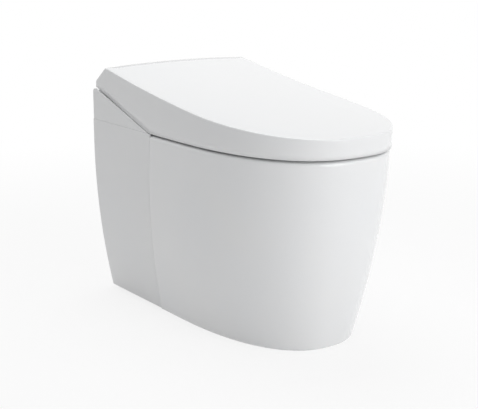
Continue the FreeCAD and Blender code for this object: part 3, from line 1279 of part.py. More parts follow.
# ---------------------------------------------------------------- water and flushing
def flush_tank():
    """Pressureless flushing tank behind the bowl."""
    outer = rounded_box((-TANK_HALF_WIDTH, TANK_HALF_WIDTH), TANK_Y, TANK_Z, TANK_ROUND)
    inner_x = TANK_HALF_WIDTH - TANK_WALL
    inner = rounded_box(
        (-inner_x, inner_x),
        (TANK_Y[0] + TANK_WALL, TANK_Y[1] - TANK_WALL),
        (TANK_Z[0] + TANK_WALL, TANK_Z[1] - TANK_WALL),
        TANK_ROUND - TANK_WALL,
    )
    return outer.cut(inner)


def tank_stand():
    """Bent plate that carries the tank above the pump."""
    top = box((-STAND_HALF_WIDTH, STAND_HALF_WIDTH), STAND_Y, (TANK_Z[0] - STAND_WALL, TANK_Z[0]))
    leg_x = (STAND_HALF_WIDTH - STAND_WALL, STAND_HALF_WIDTH)
    leg = box(leg_x, STAND_Y, (FLANGE_THICK, TANK_Z[0]))
    hole = rod_z(PUMP_X, PUMP_Y, PIPE_RADIUS + FIT_GAP, (0.0, BIG))
    return joined([top, leg, mirrored(leg)]).cut(hole)


def pump_housing():
    """Flushing pump under the tank, with its feet on the floor of the foot."""
    casing = rod_z(PUMP_X, PUMP_Y, PUMP_RADIUS, (PUMP_Z[0], PUMP_Z[1]))
    hollow = rod_z(PUMP_X, PUMP_Y, PUMP_RADIUS - PUMP_WALL, (PUMP_Z[0] + PUMP_WALL, PUMP_Z[1] - PUMP_WALL))
    neck = rod_z(PUMP_X, PUMP_Y, PIPE_RADIUS, (PUMP_Z[1] - PUMP_WALL / 2, TANK_Z[0]))
    neck_bore = rod_z(PUMP_X, PUMP_Y, PIPE_BORE, (PUMP_Z[1] - 2 * PUMP_WALL, TANK_Z[0] + OVERCUT))
    arm_x = (PUMP_X + PUMP_RADIUS / 2, STAND_HALF_WIDTH - STAND_WALL)
    arm = box(arm_x, (PUMP_Y - PIPE_RADIUS, PUMP_Y + PIPE_RADIUS), (PUMP_Z[0], PUMP_Z[0] + PUMP_WALL))
    jet_z = (PUMP_Z[0] + PUMP_Z[1]) / 2
    jet = rod_y(PUMP_X, jet_z, PIPE_BORE, (PUMP_Y - BIG, PUMP_Y - PUMP_RADIUS / 2))
    outlet_y = (PUMP_Y - PUMP_RADIUS - PUMP_OUTLET, PUMP_Y - PUMP_RADIUS + PUMP_WALL)
    outlet = rod_y(PUMP_X, jet_z, PIPE_RADIUS, outlet_y)
    solid = without(joined([casing, neck, arm, outlet]), [hollow, neck_bore, jet])
    low = (PUMP_Z[0] + PUMP_WALL / 2, PUMP_Z[0] + 2 * PUMP_WALL)
    shaft = rod_z(PUMP_X, PUMP_Y, PUMP_SHAFT_RADIUS, (low[0], PUMP_Z[1] - 3 * PUMP_WALL))
    return joined([solid, shaft, rod_z(PUMP_X, PUMP_Y, 2 * PUMP_SHAFT_RADIUS, low)])


def pump_impeller():
    """Wheel of the flushing pump."""
    z = (PUMP_Z[0] + 2 * PUMP_WALL + RUN_GAP, PUMP_Z[1] - 3 * PUMP_WALL)
    radius = PUMP_RADIUS - 2 * PUMP_WALL
    return blade_wheel(PUMP_X, PUMP_Y, radius, z, PUMP_BLADES, PUMP_SHAFT_RADIUS + FIT_GAP)


def bent_pipe(points):
    """Round pipe through points, with the same bend at each corner."""
    edges = []
    start = points[0]
    for corner, after in zip(points[1:-1], points[2:]):
        towards = corner.sub(start).normalize()
        away = after.sub(corner).normalize()
        begin = corner.sub(Vec(towards).multiply(PIPE_BEND))
        end = corner.add(Vec(away).multiply(PIPE_BEND))
        inside = corner.add(Vec(away).sub(towards).multiply(PIPE_BEND * (1 - math.sqrt(0.5))))
        edges.append(Part.makeLine(start, begin))
        edges.append(Part.Arc(begin, inside, end).toShape())
        start = end
    edges.append(Part.makeLine(start, points[-1]))
    path = Part.Wire(edges)
    direction = points[1].sub(points[0]).normalize()
    outer = pipe_along(path, points[0], direction, PIPE_RADIUS)
    return outer.cut(pipe_along(path, points[0], direction, PIPE_BORE))


def jet_pipe():
    """Pipe from the pump's outlet to the underside of the bowl."""
    start_y = PUMP_Y - PUMP_RADIUS - PUMP_OUTLET
    middle_z = (PUMP_Z[0] + PUMP_Z[1]) / 2
    pipe = bent_pipe([
        Vec(PUMP_X, start_y, middle_z),
        Vec(PUMP_X, JET_Y, middle_z),
        Vec(PUMP_X, JET_Y, JET_TOP),
    ])
    return pipe.cut(bowl_loft(BOWL_WALL + RUN_GAP))


def inlet_valve():
    """Shut-off valve on the inside of the rear panel."""
    rear = rear_panel_faces()[0]
    x = (VALVE_X - VALVE_HALF_WIDTH, VALVE_X + VALVE_HALF_WIDTH)
    block = box(x, (rear - VALVE_LENGTH, rear), VALVE_Z)
    coil_z = (VALVE_Z[0] - VALVE_COIL_LENGTH, VALVE_Z[0])
    coil = rod_z(VALVE_X, rear - VALVE_LENGTH / 2, VALVE_COIL_RADIUS, coil_z)
    return joined([block, coil])


def water_inlet():
    """Threaded water inlet in the round opening of the rear panel."""
    start = rear_panel_faces()[0]
    flange = rod_y(VALVE_X, INLET_Z, INLET_FLANGE_RADIUS, (start, start + INLET_FLANGE_THICK))
    stem = rod_y(VALVE_X, INLET_Z, INLET_RADIUS, (start, INLET_END_Y))
    bore = rod_y(VALVE_X, INLET_Z, PIPE_BORE, (start - OVERCUT, INLET_END_Y + OVERCUT))
    return joined([flange, stem]).cut(bore)


def power_gland():
    """Cable gland in the rear panel."""
    front, back = rear_panel_faces()
    stem = rod_y(GLAND_X, GLAND_Z, GLAND_RADIUS, (front - GLAND_COLLAR, INLET_END_Y))
    collars = [
        rod_y(GLAND_X, GLAND_Z, GLAND_RADIUS + GLAND_COLLAR, (y, y + GLAND_COLLAR))
        for y in (front - GLAND_COLLAR, back)
    ]
    return joined([stem] + collars).cut(rod_y(GLAND_X, GLAND_Z, GLAND_BORE, (0.0, BIG)))


def vacuum_breaker():
    """Upright backflow preventer on the valve's outlet, under the ceramic deck."""
    y = rear_panel_faces()[0] - VALVE_LENGTH / 2
    body = rod_z(VALVE_X, y, BREAKER_RADIUS, (VALVE_Z[1], BREAKER_TOP))
    neck = rod_z(VALVE_X, y, PIPE_RADIUS, (BREAKER_TOP, DECK_TOP - DECK_THICK))
    return joined([body, neck])


def write(name, shape):
    """Writes one sub-part to its own file."""
    solids = shape.Solids
    whole = solids[0] if len(solids) == 1 else Part.makeCompound(solids)
    whole.exportStep("parts/" + name + ".step")
    print(name, len(solids), whole.isValid(), round(whole.Volume))


PARTS = {
    "ceramic_skirt": ceramic_skirt(),
    "ceramic_rim": ceramic_rim(),
    "ceramic_bowl": ceramic_bowl(),
    "trapway": trapway(),
    "trap_outlet": trap_outlet(),
    "drain_seal": drain_seal(),
    "side_panel_right": side_panel(-1),
    "side_panel_left": side_panel(1),
    "panel_clips": panel_clips(),
    "rear_panel": rear_panel(),
    "lid_shell": lid_shell(),
    "lid_liner": lid_liner(),
    "lid_arm_right": mirrored(lid_arm()),
    "lid_arm_left": lid_arm(),
    "lid_buffers": lid_buffers(),
    "lid_drive_shaft": lid_drive_shaft(),
    "case_top": case_top(),
    "case_base": case_base(),
    "case_screws": case_screws(),
    "cheek_right": mirrored(cheek()),
    "cheek_left": cheek(),
    "seat_top": seat_top(),
    "seat_heater": seat_heater(),
    "seat_base": seat_base(),
    "seat_pins": seat_pins(),
    "seat_buffers": seat_buffers(),
    "seat_switch": seat_switch(),
    "wand_outer": wand_outer(),
    "wand_inner": wand_inner(),
    "wand_tip": wand_tip(),
    "nozzle_guide": nozzle_guide(),
    "nozzle_motor": nozzle_motor(),
    "nozzle_guard": nozzle_guard(),
    "dryer_duct": dryer_duct(),
    "dryer_heater": dryer_heater(),
    "dryer_flap": dryer_flap(),
    "dryer_housing": dryer_housing(),
    "dryer_impeller": dryer_impeller(),
    "deodoriser_housing": deodoriser_housing(),
    "deodoriser_impeller": deodoriser_impeller(),
    "deodoriser_cartridge": deodoriser_cartridge(),
    "heat_exchanger": heat_exchanger(),
    "control_board": control_board(),
    "board_cover": board_cover(),
    "lid_drive_unit": lid_drive_unit(),
    "lid_shaft_bearing": lid_shaft_bearing(),
    "seat_drive_unit": seat_drive_unit(),
    "seat_bearing": seat_bearing(),
    "sensor_window": sensor_window(),
    "status_lamp": status_lamp(),
    "flush_tank": flush_tank(),
    "tank_stand": tank_stand(),
    "pump_housing": pump_housing(),
    "pump_impeller": pump_impeller(),
    "jet_pipe": jet_pipe(),
    "inlet_valve": inlet_valve(),
    "water_inlet": water_inlet(),
    "power_gland": power_gland(),
    "vacuum_breaker": vacuum_breaker(),
}

os.makedirs("parts", exist_ok=True)
for part_name, part_shape in PARTS.items():
    write(part_name, part_shape)
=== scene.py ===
"""Looks of a one-piece electronic toilet with a motor-driven lid and a heated seat.

Metres, +Z up, the rounded front towards -Y. The large shells are modelled here as row after row of
points that follow the body's own curves, and the rest of the object keeps its constructed shape.
"""
import json
import logging
import math
from collections.abc import Callable, Sequence
from dataclasses import dataclass, field
from enum import Enum

import bmesh
import bpy
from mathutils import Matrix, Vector

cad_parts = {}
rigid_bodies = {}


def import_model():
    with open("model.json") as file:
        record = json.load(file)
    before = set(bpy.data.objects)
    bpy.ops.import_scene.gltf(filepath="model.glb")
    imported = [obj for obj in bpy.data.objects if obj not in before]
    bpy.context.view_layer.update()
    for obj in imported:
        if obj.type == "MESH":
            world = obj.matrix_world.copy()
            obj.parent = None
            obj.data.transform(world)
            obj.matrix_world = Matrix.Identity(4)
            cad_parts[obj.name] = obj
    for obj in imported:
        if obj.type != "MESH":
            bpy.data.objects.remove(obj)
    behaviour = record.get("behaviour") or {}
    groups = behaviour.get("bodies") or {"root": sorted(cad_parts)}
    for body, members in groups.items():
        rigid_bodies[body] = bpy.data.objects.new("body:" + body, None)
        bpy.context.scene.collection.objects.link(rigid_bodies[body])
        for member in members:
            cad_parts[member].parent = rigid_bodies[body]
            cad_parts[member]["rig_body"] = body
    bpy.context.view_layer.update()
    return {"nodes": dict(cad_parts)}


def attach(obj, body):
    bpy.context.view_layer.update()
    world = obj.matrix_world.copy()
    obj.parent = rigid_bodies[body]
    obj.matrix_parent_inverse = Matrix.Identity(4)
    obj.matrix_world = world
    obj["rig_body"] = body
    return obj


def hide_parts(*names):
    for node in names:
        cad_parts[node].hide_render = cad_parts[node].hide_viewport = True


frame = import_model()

LOG = logging.getLogger("toilet")
MERGE_DISTANCE = 1e-6
SHARP_ANGLE = math.radians(50.0)
QUARTER_TURN = math.pi / 2


class Side(Enum):
    """A side of the toilet, as one faces away from the wall; the value is the sign of its x."""

    RIGHT = -1
    LEFT = 1

    @property
    def label(self) -> str:
        """The word that a piece's name ends with."""
        return self.name.lower()


# ---------------------------------------------------------------- shared outline
@dataclass(frozen=True)
class Outline:
    """Plan outline with straight sides and a rounded front.

    The front follows |x / half width| ** power + |depth / full depth| ** power = 1.
    """

    power: float = 2.4
    curve_steps: int = 26

    def front(self, half_width: float, start_y: float, front_y: float) -> list[tuple[float, float]]:
        """Points of the rounded front, from the right side round to the left side.

        Args:
            half_width: Half the width of the straight part.
            start_y: Where the straight sides begin to curve.
            front_y: The foremost point.

        Returns:
            Plan points as (x, y), from -X to +X.
        """
        points = []
        for step in range(-self.curve_steps, self.curve_steps + 1):
            share = abs(step) / self.curve_steps
            angle = QUARTER_TURN * (1 - share)
            reach = half_width * max(0.0, math.cos(angle)) ** (2 / self.power)
            depth = (start_y - front_y) * max(0.0, math.sin(angle)) ** (2 / self.power)
            points.append((math.copysign(reach, step) if step else 0.0, start_y - depth))
        return points


@dataclass(frozen=True)
class BodyForm:
    """The outer form that the ceramic and the side panels share, at any height."""

    half_width: float = 0.199
    base_narrowing: float = 0.041
    flare_top: float = 0.360
    front_y: float = -0.343
    front_slope: float = 0.0745
    front_slope_top: float = 0.390
    front_slope_power: float = 1.5
    curve_start_top: float = -0.009
    curve_start_base: float = 0.060
    rim_top: float = 0.406
    seam_top_y: float = 0.1015
    seam_base_y: float = 0.131
    rear_y: float = 0.3475

    def half(self, z: float) -> float:
        """Half width at a height."""
        return self.half_width - self.base_narrowing * max(0.0, 1 - z / self.flare_top) ** 2

    def front(self, z: float) -> float:
        """Foremost y at a height."""
        below = max(0.0, 1 - z / self.front_slope_top)
        return self.front_y + self.front_slope * below ** self.front_slope_power

    def curve_start(self, z: float) -> float:
        """Where the straight side gives way to the rounded front, at a height."""
        return self.curve_start_base + (self.curve_start_top - self.curve_start_base) * z / self.rim_top

    def seam(self, z: float) -> float:
        """The y of the seam between ceramic and side panel, at a height."""
        return self.seam_base_y + (self.seam_top_y - self.seam_base_y) * z / self.rim_top


@dataclass(frozen=True)
class LidForm:
    """The lid's leaning skirt, its bowed and crowned top and its slanting rear."""

    low: float = 0.4093
    half_width: float = 0.1975
    draft: float = 0.06
    front_draft: float = -0.047
    front_y: float = -0.3456
    curve_start: float = 0.0009
    front_top: float = 0.4502
    crown: float = 0.006
    bow_radius: float = 4.56
    front_fall: float = 0.0073
    fall_power: float = 4.0
    hinge_y: float = 0.290
    hinge_top: float = 0.526
    crest_y: float = 0.3045
    crest_z: float = 0.5275
    rear_y: float = 0.3435
    rear_top: float = 0.496
    corner_round: float = 0.004
    corner_steps: int = 5
    slant_steps: int = 3
    line_slope: float = 0.313
    line_start_y: float = 0.1015
    line_start_z: float = 0.4073

    def lower_edge(self, y: float) -> float:
        """Height of the skirt's lower edge, level in front and rising along the slanting joint."""
        return max(self.low, self.line_start_z + self.line_slope * (y - self.line_start_y))

    def lowered(self, x: float, middle_z: float) -> float:
        """Height at x of a top line that has a given height in the middle plane.

        Args:
            x: Sideways distance from the middle plane.
            middle_z: The line's height in the middle plane.

        Returns:
            The height.
        """
        radius = (self.half_width ** 2 + self.crown ** 2) / (2 * self.crown)
        centre = self.hinge_top + self.crown - radius
        return centre + math.sqrt((middle_z - centre) ** 2 - x ** 2)

    def ridge(self, y: float) -> float:
        """Height of the top in the middle plane.

        Args:
            y: Place along the lid.

        Returns:
            The height, with the crown in it.
        """
        start = self.front_top + self.crown
        end = self.hinge_top + self.crown
        if y > self.hinge_y:
            rise = (self.crest_z - self.hinge_top) / (self.crest_y - self.hinge_y)
            return end + rise * (y - self.hinge_y)
        share = (y - self.front_y) / (self.hinge_y - self.front_y)
        chord_squared = (self.hinge_y - self.front_y) ** 2 + (end - start) ** 2
        sag = chord_squared / (8 * self.bow_radius)
        ahead = max(0.0, (self.curve_start - y) / (self.curve_start - self.front_y))
        fall = self.front_fall * ahead ** self.fall_power
        return start + (end - start) * share - 4 * sag * share * (1 - share) - fall

    def top(self, x: float, y: float) -> Vector:
        """Point on the top surface, in front of the rear crest."""
        return Vector((x, y, self.lowered(x, self.ridge(y))))

    def skirt_half(self, z: float, ahead: float = 0.0) -> float:
        """Half width of the skirt at a height.

        Args:
            z: The height.
            ahead: How far round the front, from 0 at the straight side to 1 at the foremost point.

        Returns:
            The half width, which leans in at the sides and out in front.
        """
        return self.half_width - self.lean(ahead) * (z - self.low)

    def lean(self, ahead: float) -> float:
        """How far the skirt leans in for each metre of height."""
        return self.draft + (self.front_draft - self.draft) * ahead

    def rear_path(self) -> list[tuple[float, float, float]]:
        """Side view of the rear, from the rounded crest down the slant to the upright rear face.

        Returns:
            Points as (y, z, turn), where turn is the angle of the outward normal from upright.
        """
        slant = math.atan2(self.rear_y - self.crest_y, self.crest_z - self.rear_top)
        rise = math.atan2(self.crest_z - self.hinge_top, self.crest_y - self.hinge_y)
        turns = [-rise, QUARTER_TURN - slant, QUARTER_TURN]
        path: list[tuple[float, float, float]] = []
        corners = ((self.crest_y, self.crest_z), (self.rear_y, self.rear_top))
        for (corner_y, corner_z), first, last in zip(corners, turns, turns[1:]):
            reach = self.corner_round * math.tan((last - first) / 2)
            centre_y = corner_y - reach * math.cos(first) - self.corner_round * math.sin(first)
            centre_z = corner_z + reach * math.sin(first) - self.corner_round * math.cos(first)
            for step in range(self.corner_steps + 1):
                turn = first + (last - first) * step / self.corner_steps
                y = centre_y + self.corner_round * math.sin(turn)
                z = centre_z + self.corner_round * math.cos(turn)
                if path and step == 0:
                    before = path[-1]
                    for n in range(1, self.slant_steps):
                        share = n / self.slant_steps
                        between = (before[0] + (y - before[0]) * share, before[1] + (z - before[1]) * share)
                        path.append((*between, turn))
                path.append((y, z, turn))
        return path


# ---------------------------------------------------------------- finishes
class Surface(Enum):
    """Kinds of surface on the object."""

    GLAZE = "glaze"
    MOULDING = "moulding"
    METAL = "metal"
    RUBBER = "rubber"
    GLASS = "glass"


@dataclass(frozen=True)
class Finish:
    """One finish: the values of its shader and of the shared effects in it."""

    name: str
    slot: str
    surface: Surface
    colour: tuple[float, float, float]
    roughness: float
    tint: tuple[float, float, float] = (0.95, 0.97, 1.0)
    variation: float = 0.02
    cloud_size: float = 7.0
    ripple_size: float = 60.0
    ripple_depth: float = 0.0002
    ripple_strength: float = 0.15
    coat: float = 0.0
    coat_roughness: float = 0.04
    refraction: float = 1.5

    @property
    def metallic(self) -> float:
        """1 for bare metal and 0 for everything else."""
        return 1.0 if self.surface is Surface.METAL else 0.0


WHITE = (0.850, 0.854, 0.858)
FINISHES: dict[str, Finish] = {
    "ceramic_glaze": Finish(
        "ceramic_glaze", "white_ceramic", Surface.GLAZE, WHITE, 0.12, variation=0.018, cloud_size=5.0,
        ripple_size=22.0, ripple_depth=0.0012, ripple_strength=0.10, coat=0.6,
    ),
    "lid_moulding": Finish(
        "lid_moulding", "white_plastic", Surface.MOULDING, WHITE, 0.20, variation=0.012, cloud_size=4.0,
        ripple_size=420.0, ripple_depth=0.00004, ripple_strength=0.10, coat=0.25,
    ),
    "panel_moulding": Finish(
        "panel_moulding", "white_plastic", Surface.MOULDING, (0.842, 0.846, 0.850), 0.24, variation=0.014,
        cloud_size=5.0, ripple_size=420.0, ripple_depth=0.00004, ripple_strength=0.12, coat=0.2,
    ),
    "seat_moulding": Finish(
        "seat_moulding", "white_plastic", Surface.MOULDING, (0.85, 0.855, 0.86), 0.28, variation=0.012,
        ripple_size=520.0, ripple_depth=0.00004, ripple_strength=0.12, coat=0.15,
    ),
    "inner_moulding": Finish(
        "inner_moulding", "inner_plastic", Surface.MOULDING, (0.78, 0.79, 0.80), 0.38, variation=0.02,
        ripple_size=900.0, ripple_depth=0.00006, ripple_strength=0.25,
    ),
    "grey_moulding": Finish(
        "grey_moulding", "grey_plastic", Surface.MOULDING, (0.30, 0.31, 0.33), 0.45, variation=0.05,
        ripple_size=900.0, ripple_depth=0.00008, ripple_strength=0.35,
    ),
    "smoked_window": Finish(
        "smoked_window", "dark_plastic", Surface.GLASS, (0.015, 0.015, 0.018), 0.06, variation=0.02, coat=0.8,
        ripple_strength=0.02,
    ),
    "soft_rubber": Finish(
        "soft_rubber", "soft_rubber", Surface.RUBBER, (0.42, 0.42, 0.43), 0.72, variation=0.05,
        ripple_size=1500.0, ripple_depth=0.00008, ripple_strength=0.5,
    ),
    "seal_rubber": Finish(
        "seal_rubber", "seal_rubber", Surface.RUBBER, (0.035, 0.035, 0.036), 0.65, variation=0.08,
        ripple_size=1300.0, ripple_depth=0.0001, ripple_strength=0.5,
    ),
    "brushed_steel": Finish(
        "brushed_steel", "steel", Surface.METAL, (0.60, 0.61, 0.62), 0.30, variation=0.05,
        ripple_size=700.0, ripple_depth=0.00005, ripple_strength=0.25,
    ),
    "turned_brass": Finish(
        "turned_brass", "brass", Surface.METAL, (0.72, 0.52, 0.24), 0.28, variation=0.06,
        ripple_size=600.0, ripple_depth=0.00005, ripple_strength=0.2,
    ),
    "heating_foil": Finish(
        "heating_foil", "foil", Surface.METAL, (0.72, 0.72, 0.73), 0.42, variation=0.08,
        ripple_size=160.0, ripple_depth=0.0003, ripple_strength=0.4,
    ),
    "circuit_board": Finish(
        "circuit_board", "board", Surface.MOULDING, (0.02, 0.12, 0.05), 0.35, variation=0.15,
        ripple_size=500.0, ripple_depth=0.0001, ripple_strength=0.3,
    ),
}

NODE_FINISH: dict[str, str] = {
    "ceramic_skirt": "ceramic_glaze",
    "ceramic_rim": "ceramic_glaze",
    "ceramic_bowl": "ceramic_glaze",
    "trap_outlet": "ceramic_glaze",
    "trapway": "ceramic_glaze",
    "lid_shell": "lid_moulding",
    "lid_liner": "lid_moulding",
    "side_panel_right": "panel_moulding",
    "side_panel_left": "panel_moulding",
    "cheek_right": "panel_moulding",
    "cheek_left": "panel_moulding",
    "rear_panel": "panel_moulding",
    "case_top": "panel_moulding",
    "case_base": "panel_moulding",
    "seat_top": "seat_moulding",
    "seat_base": "seat_moulding",
    "drain_seal": "seal_rubber",
    "lid_buffers": "soft_rubber",
    "seat_buffers": "soft_rubber",
    "panel_clips": "brushed_steel",
    "case_screws": "brushed_steel",
    "lid_drive_shaft": "brushed_steel",
    "seat_pins": "brushed_steel",
    "tank_stand": "brushed_steel",
    "nozzle_motor": "brushed_steel",
    "wand_outer": "brushed_steel",
    "seat_heater": "heating_foil",
    "dryer_heater": "heating_foil",
    "control_board": "circuit_board",
    "sensor_window": "smoked_window",
    "inlet_valve": "turned_brass",
    "water_inlet": "turned_brass",
    "wand_inner": "inner_moulding",
    "wand_tip": "inner_moulding",
    "nozzle_guard": "inner_moulding",
    "seat_switch": "inner_moulding",
    "dryer_flap": "inner_moulding",
    "dryer_duct": "inner_moulding",
    "deodoriser_cartridge": "inner_moulding",
    "lid_arm_right": "inner_moulding",
    "lid_arm_left": "inner_moulding",
    "status_lamp": "inner_moulding",
    "flush_tank": "inner_moulding",
    "jet_pipe": "inner_moulding",
    "vacuum_breaker": "inner_moulding",
}
DEFAULT_FINISH = "grey_moulding"

# Sockets of a Mix node that mixes colours, which share their names with its other sockets.
MIX_FACTOR, MIX_FIRST, MIX_SECOND, MIX_RESULT = 0, 6, 7, 2


@dataclass
class EffectGroups:
    """Shader node groups that more than one finish uses, each built once."""

    cloud_detail: float = 4.0
    cloud_roughness: float = 0.55
    cloud_low: float = 0.3
    cloud_high: float = 0.7
    tint_gain: float = 20.0
    broad_detail: float = 2.0
    fine_detail: float = 1.0
    fine_scale: float = 3.7
    fine_share: float = 0.3

    def __post_init__(self) -> None:
        """Builds the groups."""
        self.clouds = self._tone_clouds()
        self.relief = self._surface_relief()

    @staticmethod
    def _new_group(
        name: str, inputs: dict[str, tuple[str, float]], outputs: dict[str, str]
    ) -> bpy.types.NodeTree:
        """Makes an empty group with named sockets.

        Args:
            name: The group's name.
            inputs: Socket name to its type and default value.
            outputs: Socket name to its type.

        Returns:
            The new node tree, with its input and output nodes in it.
        """
        group = bpy.data.node_groups.new(name, "ShaderNodeTree")
        for label, (kind, value) in inputs.items():
            socket = group.interface.new_socket(name=label, in_out="INPUT", socket_type=kind)
            socket.default_value = value
        for label, kind in outputs.items():
            group.interface.new_socket(name=label, in_out="OUTPUT", socket_type=kind)
        group.nodes.new("NodeGroupInput").name = "in"
        group.nodes.new("NodeGroupOutput").name = "out"
        return group

    def _tone_clouds(self) -> bpy.types.NodeTree:
        """Broad, faint shifts of tone and gloss, as a glaze or a large moulding has.

        Returns:
            The group, with a colour and a roughness output.
        """
        colour = "NodeSocketColor"
        number = "NodeSocketFloat"
        group = self._new_group(
            "tone_clouds",
            {
                "Colour": (colour, (0.8, 0.8, 0.8, 1.0)),
                "Tint": (colour, (1.0, 1.0, 1.0, 1.0)),
                "Amount": (number, 0.02),
                "Size": (number, 5.0),
                "Roughness": (number, 0.3),
            },
            {"Colour": colour, "Roughness": number},
        )
        nodes, links = group.nodes, group.links
        place = nodes.new("ShaderNodeTexCoord")
        noise = nodes.new("ShaderNodeTexNoise")
        noise.inputs["Detail"].default_value = self.cloud_detail
        noise.inputs["Roughness"].default_value = self.cloud_roughness
        links.new(place.outputs["Object"], noise.inputs["Vector"])
        links.new(nodes["in"].outputs["Size"], noise.inputs["Scale"])
        spread = nodes.new("ShaderNodeMapRange")
        spread.inputs["From Min"].default_value = self.cloud_low
        spread.inputs["From Max"].default_value = self.cloud_high
        links.new(noise.outputs["Fac"], spread.inputs["Value"])
        tinted = nodes.new("ShaderNodeMix")
        tinted.data_type = "RGBA"
        tinted.blend_type = "MULTIPLY"
        tinted.inputs[MIX_FACTOR].default_value = 1.0
        links.new(nodes["in"].outputs["Colour"], tinted.inputs[MIX_FIRST])
        links.new(nodes["in"].outputs["Tint"], tinted.inputs[MIX_SECOND])
        share = nodes.new("ShaderNodeMath")
        share.operation = "MULTIPLY"
        links.new(spread.outputs["Result"], share.inputs[0])
        strength = nodes.new("ShaderNodeMath")
        strength.operation = "MULTIPLY"
        strength.inputs[1].default_value = self.tint_gain
        links.new(nodes["in"].outputs["Amount"], strength.inputs[0])
        links.new(strength.outputs["Value"], share.inputs[1])
        blend = nodes.new("ShaderNodeMix")
        blend.data_type = "RGBA"
        links.new(share.outputs["Value"], blend.inputs[MIX_FACTOR])
        links.new(nodes["in"].outputs["Colour"], blend.inputs[MIX_FIRST])
        links.new(tinted.outputs[MIX_RESULT], blend.inputs[MIX_SECOND])
        links.new(blend.outputs[MIX_RESULT], nodes["out"].inputs["Colour"])
        shift = nodes.new("ShaderNodeMath")
        shift.operation = "MULTIPLY_ADD"
        links.new(spread.outputs["Result"], shift.inputs[0])
        links.new(nodes["in"].outputs["Amount"], shift.inputs[1])
        links.new(nodes["in"].outputs["Roughness"], shift.inputs[2])
        links.new(shift.outputs["Value"], nodes["out"].inputs["Roughness"])
        return group

    def _surface_relief(self) -> bpy.types.NodeTree:
        """Fine unevenness of a surface: the ripple of a glaze or the grain of a mould.

        Returns:
            The group, with a height output for a Bump node.
        """
        number = "NodeSocketFloat"
        group = self._new_group("surface_relief", {"Size": (number, 60.0)}, {"Height": number})
        nodes, links = group.nodes, group.links
        place = nodes.new("ShaderNodeTexCoord")
        broad = nodes.new("ShaderNodeTexNoise")
        broad.inputs["Detail"].default_value = self.broad_detail
        fine = nodes.new("ShaderNodeTexNoise")
        fine.inputs["Detail"].default_value = self.fine_detail
        finer = nodes.new("ShaderNodeMath")
        finer.operation = "MULTIPLY"
        finer.inputs[1].default_value = self.fine_scale
        for noise in (broad, fine):
            links.new(place.outputs["Object"], noise.inputs["Vector"])
        links.new(nodes["in"].outputs["Size"], broad.inputs["Scale"])
        links.new(nodes["in"].outputs["Size"], finer.inputs[0])
        links.new(finer.outputs["Value"], fine.inputs["Scale"])
        mix = nodes.new("ShaderNodeMath")
        mix.operation = "MULTIPLY_ADD"
        mix.inputs[1].default_value = self.fine_share
        links.new(fine.outputs["Fac"], mix.inputs[0])
        links.new(broad.outputs["Fac"], mix.inputs[2])
        links.new(mix.outputs["Value"], nodes["out"].inputs["Height"])
        return group


class FinishShop:
    """Makes each finish's material once and hands it out."""

    def __init__(self) -> None:
        """Starts with the shared effects and no materials."""
        self.effects = EffectGroups()
        self.made: dict[str, bpy.types.Material] = {}

    def material(self, name: str) -> bpy.types.Material:
        """The material of a finish.

        Args:
            name: A key of FINISHES.

        Returns:
            The material, made on first use.
        """
        if name not in self.made:
            self.made[name] = self._build(FINISHES[name])
        return self.made[name]

    def _build(self, finish: Finish) -> bpy.types.Material:
        """Builds the node tree of one finish.

        Args:
            finish: The values to use.

        Returns:
            The new material.
        """
        material = bpy.data.materials.new(finish.name)
        material.use_nodes = True
        nodes, links = material.node_tree.nodes, material.node_tree.links
        shader = nodes["Principled BSDF"]
        shader.inputs["Metallic"].default_value = finish.metallic
        shader.inputs["Coat Weight"].default_value = finish.coat
        shader.inputs["Coat Roughness"].default_value = finish.coat_roughness
        shader.inputs["IOR"].default_value = finish.refraction
        tone = nodes.new("ShaderNodeGroup")
        tone.node_tree = self.effects.clouds
        tone.inputs["Colour"].default_value = (*finish.colour, 1.0)
        tone.inputs["Tint"].default_value = (*finish.tint, 1.0)
        tone.inputs["Amount"].default_value = finish.variation
        tone.inputs["Size"].default_value = finish.cloud_size
        tone.inputs["Roughness"].default_value = finish.roughness
        links.new(tone.outputs["Colour"], shader.inputs["Base Color"])
        links.new(tone.outputs["Roughness"], shader.inputs["Roughness"])
        relief = nodes.new("ShaderNodeGroup")
        relief.node_tree = self.effects.relief
        relief.inputs["Size"].default_value = finish.ripple_size
        bump = nodes.new("ShaderNodeBump")
        bump.inputs["Strength"].default_value = finish.ripple_strength
        bump.inputs["Distance"].default_value = finish.ripple_depth
        links.new(relief.outputs["Height"], bump.inputs["Height"])
        links.new(bump.outputs["Normal"], shader.inputs["Normal"])
        return material


